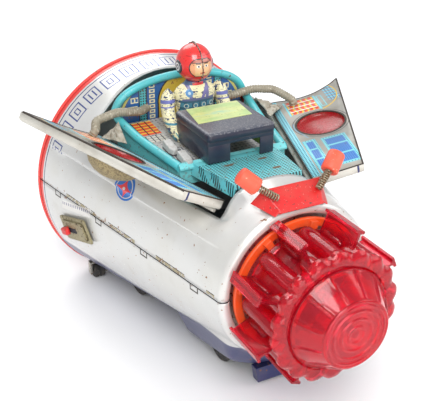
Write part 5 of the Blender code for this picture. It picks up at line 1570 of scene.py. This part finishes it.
def make_rotor():
    look = Look("clear_red", (1.0, 0.03, 0.075), 0.07)
    cloud = look.noise(14.0, 3.0, seed=4.0)
    look.paint(look.times(look.ramp(cloud, 0.4, 0.7), 0.5), (0.86, 0.008, 0.03))
    look.roughness = look.plus(0.06, look.times(look.noise(4.0, 4.0, seed=2.0), 0.10))
    # pink specks drawn with the scratch mask are painted highlights, standing for pinkish glints in the clear
    # plastic
    look.scratches((0.90, 0.20, 0.24), seed=4.0, share=0.77, stretch=(1, 1, 1), size=0.9)
    look.bump(9.0, 0.25, 0.25)
    red = look.done(Transmission_Weight=0.85, IOR=1.45)
    nose = (0.0, 0.0, AXIS_Z)
    bm = bmesh.new()
    # drum wall
    profile = [(25.9, 65.8), (29.4, 65.8), (29.6, 67.0), (27.6, 68.2), (27.5, 94.0), (26.0, 95.4),
               (25.8, 99.0), (25.4, 99.6),
               (23.9, 97.4), (24.6, 94.0), (25.6, 92.0)]
    turned(profile, 96, nose, (0.0, -1.0, 0.0), bm)
    # ribbed cone with sixteen flutes and the stepped front disc
    loops = []
    for r, y, flute in ((25.4, -99.2, 0.0), (24.4, -100.4, 0.9), (21.0, -105.6, 1.3), (18.0, -110.6, 1.0),
                        (17.4, -111.8, 0.0)):
        points = []
        for i in range(144):
            angle = math.tau * i / 144
            wave = min(1.0, max(0.0, 1.6 - abs((angle * 12 / math.tau) % 1.0 - 0.5) * 24.0))
            points.append(around(angle, r + flute * wave, y))
        loops.append(points)
    inner = [[around(math.tau * i / 144, r, y) for i in range(144)] for r,
             y in ((15.6, -111.0), (19.6, -105.4), (23.2, -99.6))]
    gather(closed_loft(loops + inner), bm)
    profile = [(0.0, 110.8), (15.8, 110.8), (17.6, 111.6), (17.5, 112.4), (16.6, 112.9)]
    for centre_r in (15.0, 12.2, 8.1, 4.15):
        profile += [(centre_r + 0.75, 112.55), (centre_r + 0.4, 113.0), (centre_r - 0.4, 113.0),
                    (centre_r - 0.75, 112.55)]
    profile += [(1.2, 112.6), (0.0, 112.9)]
    turned(profile, 96, nose, (0.0, -1.0, 0.0), bm)
    # scalloped disc
    rings = []
    for reach, y in ((-1.2, -94.0), (0.0, -94.8), (0.0, -97.2), (-1.4, -98.6), (-3.6, -99.4)):
        points = []
        for i in range(288):
            angle = math.tau * i / 288
            lobe = 33.9 - 1.9 * abs(math.sin(9.0 * angle)) ** 3
            points.append(around(angle, lobe + reach, y))
        rings.append(points)
    bore = [[around(math.tau * i / 288, 26.4, y) for i in range(288)] for y in (-98.8, -94.2)]
    gather(closed_loft(rings + bore), bm)
    # blades with flanged outer strips and swept feet
    for index in range(BLADES):
        angle = math.tau * (index + 0.5) / BLADES
        outward = Vector((math.sin(angle), 0.0, math.cos(angle)))
        across = Vector((math.cos(angle), 0.0, -math.sin(angle)))
        base = Vector((0.0, 0.0, AXIS_Z))
        shape = [(27.0, -1.1), (38.4, -0.75), (38.7, -2.7), (40.2, -2.8), (40.2, 2.8), (38.7, 2.7),
                 (38.4, 0.75), (27.0, 1.1)]
        outline = [base + outward * r + across * w + Vector((0.0, -65.8, 0.0)) for r, w in shape]
        gather(prism(outline, (0.0, -24.4, 0.0)), bm)
        foot = [base + outward * r + Vector((0.0, y, 0.0)) - across * 0.8 for r, y in
                ((27.2, -65.9), (34.0, -66.2), (36.0, -74.0), (34.6, -84.0), (31.0, -91.0), (27.2, -94.0))]
        gather(prism(foot, across * 1.6), bm)
        dome_rod(angle, 4.4, 27.6, -84.5, -98.8, bm)
        dome_rod(angle, 2.2, 29.2, -67.0, -83.0, bm, 16)
    for index in range(BLADES):
        angle = math.tau * index / BLADES
        dome_rod(angle, 4.5, 29.0, -66.2, -97.6, bm)
    rotor = finish_piece("rotor_moulding", bm, red, "rotor", ("rotor_drum",), 38.0, merge=False)
    soften(rotor, 0.3, 2, 50.0)
    # orange ring with lugs
    bm = turned([(30.6, 62.7), (34.4, 62.7), (34.8, 63.1), (34.8, 64.4), (34.4, 64.8), (30.6, 64.8)], 96,
                nose, (0.0, -1.0, 0.0))
    for index in range(BLADES):
        angle = math.tau * (index + 0.25) / BLADES
        outward = Vector((math.sin(angle), 0.0, math.cos(angle)))
        across = Vector((math.cos(angle), 0.0, -math.sin(angle)))
        base = Vector((0.0, -64.6, AXIS_Z))
        lug = [base + outward * r + across * w for r, w in ((30.0, -2.0), (33.8, -2.0), (33.8, 2.0),
                                                            (30.0, 2.0))]
        gather(prism(lug, (0.0, -2.6, 0.0)), bm)
    look = Look("orange_ring", (0.86, 0.09, 0.012), 0.3)
    look.vary(6.0, 0.2).chips(0.68, 1.2, 2.0).bump(0.6, 0.1, 0.04)
    ring = finish_piece("rotor_ring_moulding", bm, look.done(Coat_Weight=0.3), "rotor", ("rotor_ring",), 38.0,
                        merge=False)
    soften(ring, 0.2)


# ------------------------------------------------------------ running gear

def tyre_look():
    look = Look("black_tyre", (0.018, 0.018, 0.02), 0.6)
    look.paint(look.ramp(look.noise(2.0, 5.0, seed=4.0), 0.5, 0.7), (0.10, 0.09, 0.08), 0.8)
    return look.vary(3.0, 0.2).bump(0.7, 0.3, 0.1).done()


def make_wheels():
    tyre = tyre_look()
    hub = Look("hub_tin", (0.42, 0.40, 0.36), 0.35, 0.8).vary(2.0, 0.4).chips(0.6, 1.0, 2.0).bump(0.6, 0.1,
            0.05).done()
    rows = [("rear", REAR_WHEEL_R, REAR_WHEEL_X, REAR_AXLE_Y, REAR_WHEEL_WIDTH, "rear_wheels", 36),
            ("front", FRONT_WHEEL_R, FRONT_WHEEL_X, FRONT_AXLE_Y, FRONT_WHEEL_WIDTH, "front_wheels", 30)]
    for end, radius, x, y, width, body, treads in rows:
        for side, prefix in SIDES:
            centre = (side * x, y, radius)
            half = width / 2
            profile = [(radius * 0.62, -half + 0.4), (radius * 0.7, -half), (radius - 1.3, -half),
                       (radius - 0.4, -half + 0.5),
                       (radius - 0.05, -half + 1.3), (radius - 0.55, -0.5), (radius - 0.55,
                               0.5), (radius - 0.05, half - 1.3),
                       (radius - 0.4, half - 0.5), (radius - 1.3, half), (radius * 0.7, half), (radius * 0.62,
                               half - 0.4)]
            bm = turned(profile, treads * 3, centre, (1.0, 0.0, 0.0))
            finish_piece(f"{end}_tyre_{prefix}", bm, tyre, body, (f"{end}_wheel_{prefix}",), 40.0)
            inner = radius * 0.64
            profile = [(1.45, -half - 0.1), (3.2, -half - 0.1), (3.4, -half + 0.8),
                       (inner - 1.0, -half + 1.0), (inner, -half + 0.2),
                       (inner, half - 0.2), (inner - 1.0, half - 1.0), (3.4, half - 0.8), (3.2,
                               half + 0.1), (1.45, half + 0.1)]
            bm = turned(profile, 48, centre, (1.0, 0.0, 0.0))
            finish_piece(f"{end}_hub_{prefix}", bm, hub, body, (), 40.0)
    for side, prefix in SIDES:
        profile = [(0.0, -4.0), (1.2, -4.0), (1.2, -3.4), (4.0, -3.4), (4.6, -2.8), (4.6, -0.6), (4.2, -0.3),
                   (4.2, 0.3), (4.6, 0.6),
                   (4.6, 2.8), (4.0, 3.4), (1.2, 3.4), (1.2, 4.0), (0.0, 4.0)]
        bm = turned(profile, 40, (side * ROLLER_X, ROLLER_Y, ROLLER_Z), (1.0, 0.0, 0.0))
        finish_piece(f"roller_{prefix}_tyre", bm, tyre, f"{prefix}_roller", (f"roller_{prefix}",), 40.0)


def dress_nodes():
    """Materials for the frame's own pieces that stay in view, and for the works inside."""
    def steel(name, colour, rough=0.38):
        look = Look(name, colour, rough, 0.85)
        look.vary(4.0, 0.35).chips(0.62, 1.5, 3.0, (0.20, 0.11, 0.06)).scratches((0.6, 0.58, 0.52),
                stretch=(1, 1, 1), share=0.68)
        return look.bump(0.6, 0.12, 0.05).done()

    bare = steel("bare_tinplate", (0.50, 0.48, 0.43))
    grey = steel("plain_steel", (0.36, 0.36, 0.37), 0.3)
    brass = steel("tarnished_tin", (0.40, 0.33, 0.18))
    look = Look("navy_underside", NAVY, 0.4)
    navy = look.vary(8.0, 0.2).chips(0.64, 1.8, 3.0).bump(1.0, 0.12, 0.06).done(Coat_Weight=0.2)
    look = Look("battery_wrap", (0.04, 0.05, 0.06), 0.4)
    band = look.near(look.x, -18.0, 12.0)
    look.paint(band, (0.55, 0.30, 0.10)).vary(6.0, 0.2)
    cell = look.bump(0.6, 0.08, 0.03).done()
    look = Look("lamp_glass", (0.9, 0.88, 0.8), 0.08)
    glass = look.vary(3.0, 0.1).done(Transmission_Weight=0.9)
    groups = {
        bare: ("lift_guide", "front_bulkhead", "bogie_frame", "roller_bracket_right", "roller_bracket_left",
               "battery_box"),
        grey: ("lift_column", "rotor_shaft", "rear_axle", "front_axle", "motor"),
        brass: ("lamp_socket", "axle_gear", "motor_pinion"),
        navy: ("battery_door", "front_skid"),
        cell: ("d_cell_1", "d_cell_2"),
        glass: ("lamp_bulb",),
    }
    for material, names in groups.items():
        for name in names:
            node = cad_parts[name]
            node.data.materials.clear()
            node.data.materials.append(material)
            if name not in ("lamp_bulb", "lamp_socket"):
                soften(node, 0.2, 2, 50.0)


# ------------------------------------------------------------ studio

def area(name, spot, aim, power, size, colour=(1.0, 1.0, 1.0)):
    light = bpy.data.lights.new(name, "AREA")
    light.energy = power
    light.size = size
    light.color = colour
    obj = bpy.data.objects.new(name, light)
    obj.location = Vector(spot)
    obj.rotation_euler = (Vector(aim) - Vector(spot)).to_track_quat("-Z", "Y").to_euler()
    bpy.context.scene.collection.objects.link(obj)
    return obj


def make_studio():
    bm = bmesh.new()
    bmesh.ops.create_grid(bm, x_segments=4, y_segments=4, size=3.0)
    mesh = bpy.data.meshes.new("floor")
    bm.to_mesh(mesh)
    bm.free()
    floor = bpy.data.objects.new("studio_floor", mesh)
    bpy.context.scene.collection.objects.link(floor)
    look = Look("pale_floor", (0.93, 0.93, 0.93), 0.8)
    mesh.materials.append(look.done())
    lights = [area("key", (-0.45, -0.75, 1.05), (0, 0, 0.06), 13.0, 0.7),
              area("fill", (0.95, -0.55, 0.7), (0, 0, 0.06), 5.0, 0.8),
              area("back", (0.1, 0.9, 0.9), (0, 0, 0.06), 7.0, 0.8),
              area("nose_glow", (-0.1, -0.9, 0.25), (0, -0.08, 0.07), 2.2, 0.5)]
    world = bpy.data.worlds.new("studio")
    world.use_nodes = True
    world.node_tree.nodes["Background"].inputs[0].default_value = (0.95, 0.96, 1.0, 1.0)
    world.node_tree.nodes["Background"].inputs[1].default_value = WORLD_STRENGTH
    bpy.context.scene.world = world
    bpy.context.scene.view_settings.view_transform = "Standard"
    data = bpy.data.cameras.new("camera")
    data.sensor_fit = "HORIZONTAL"
    data.sensor_width = 36.0
    data.lens = CAMERA_LENS
    data.clip_start = 0.02
    camera = bpy.data.objects.new("camera", data)
    camera.location = ((-196.6 + SHIFT_X) * MM, -0.3563, CAMERA_HEIGHT)
    camera.rotation_euler = (math.radians(90.0 - CAMERA_DOWN), 0.0, math.radians(-CAMERA_TURN))
    bpy.context.scene.collection.objects.link(camera)
    bpy.context.scene.camera = camera


make_shells(shell_look())
make_rear_end()
make_switch()
make_doors()
make_cockpit()
make_console()
make_boots()
make_astronaut()
make_hoses()
make_gussets()
make_antennas()
make_rotor()
make_wheels()
dress_nodes()
make_studio()
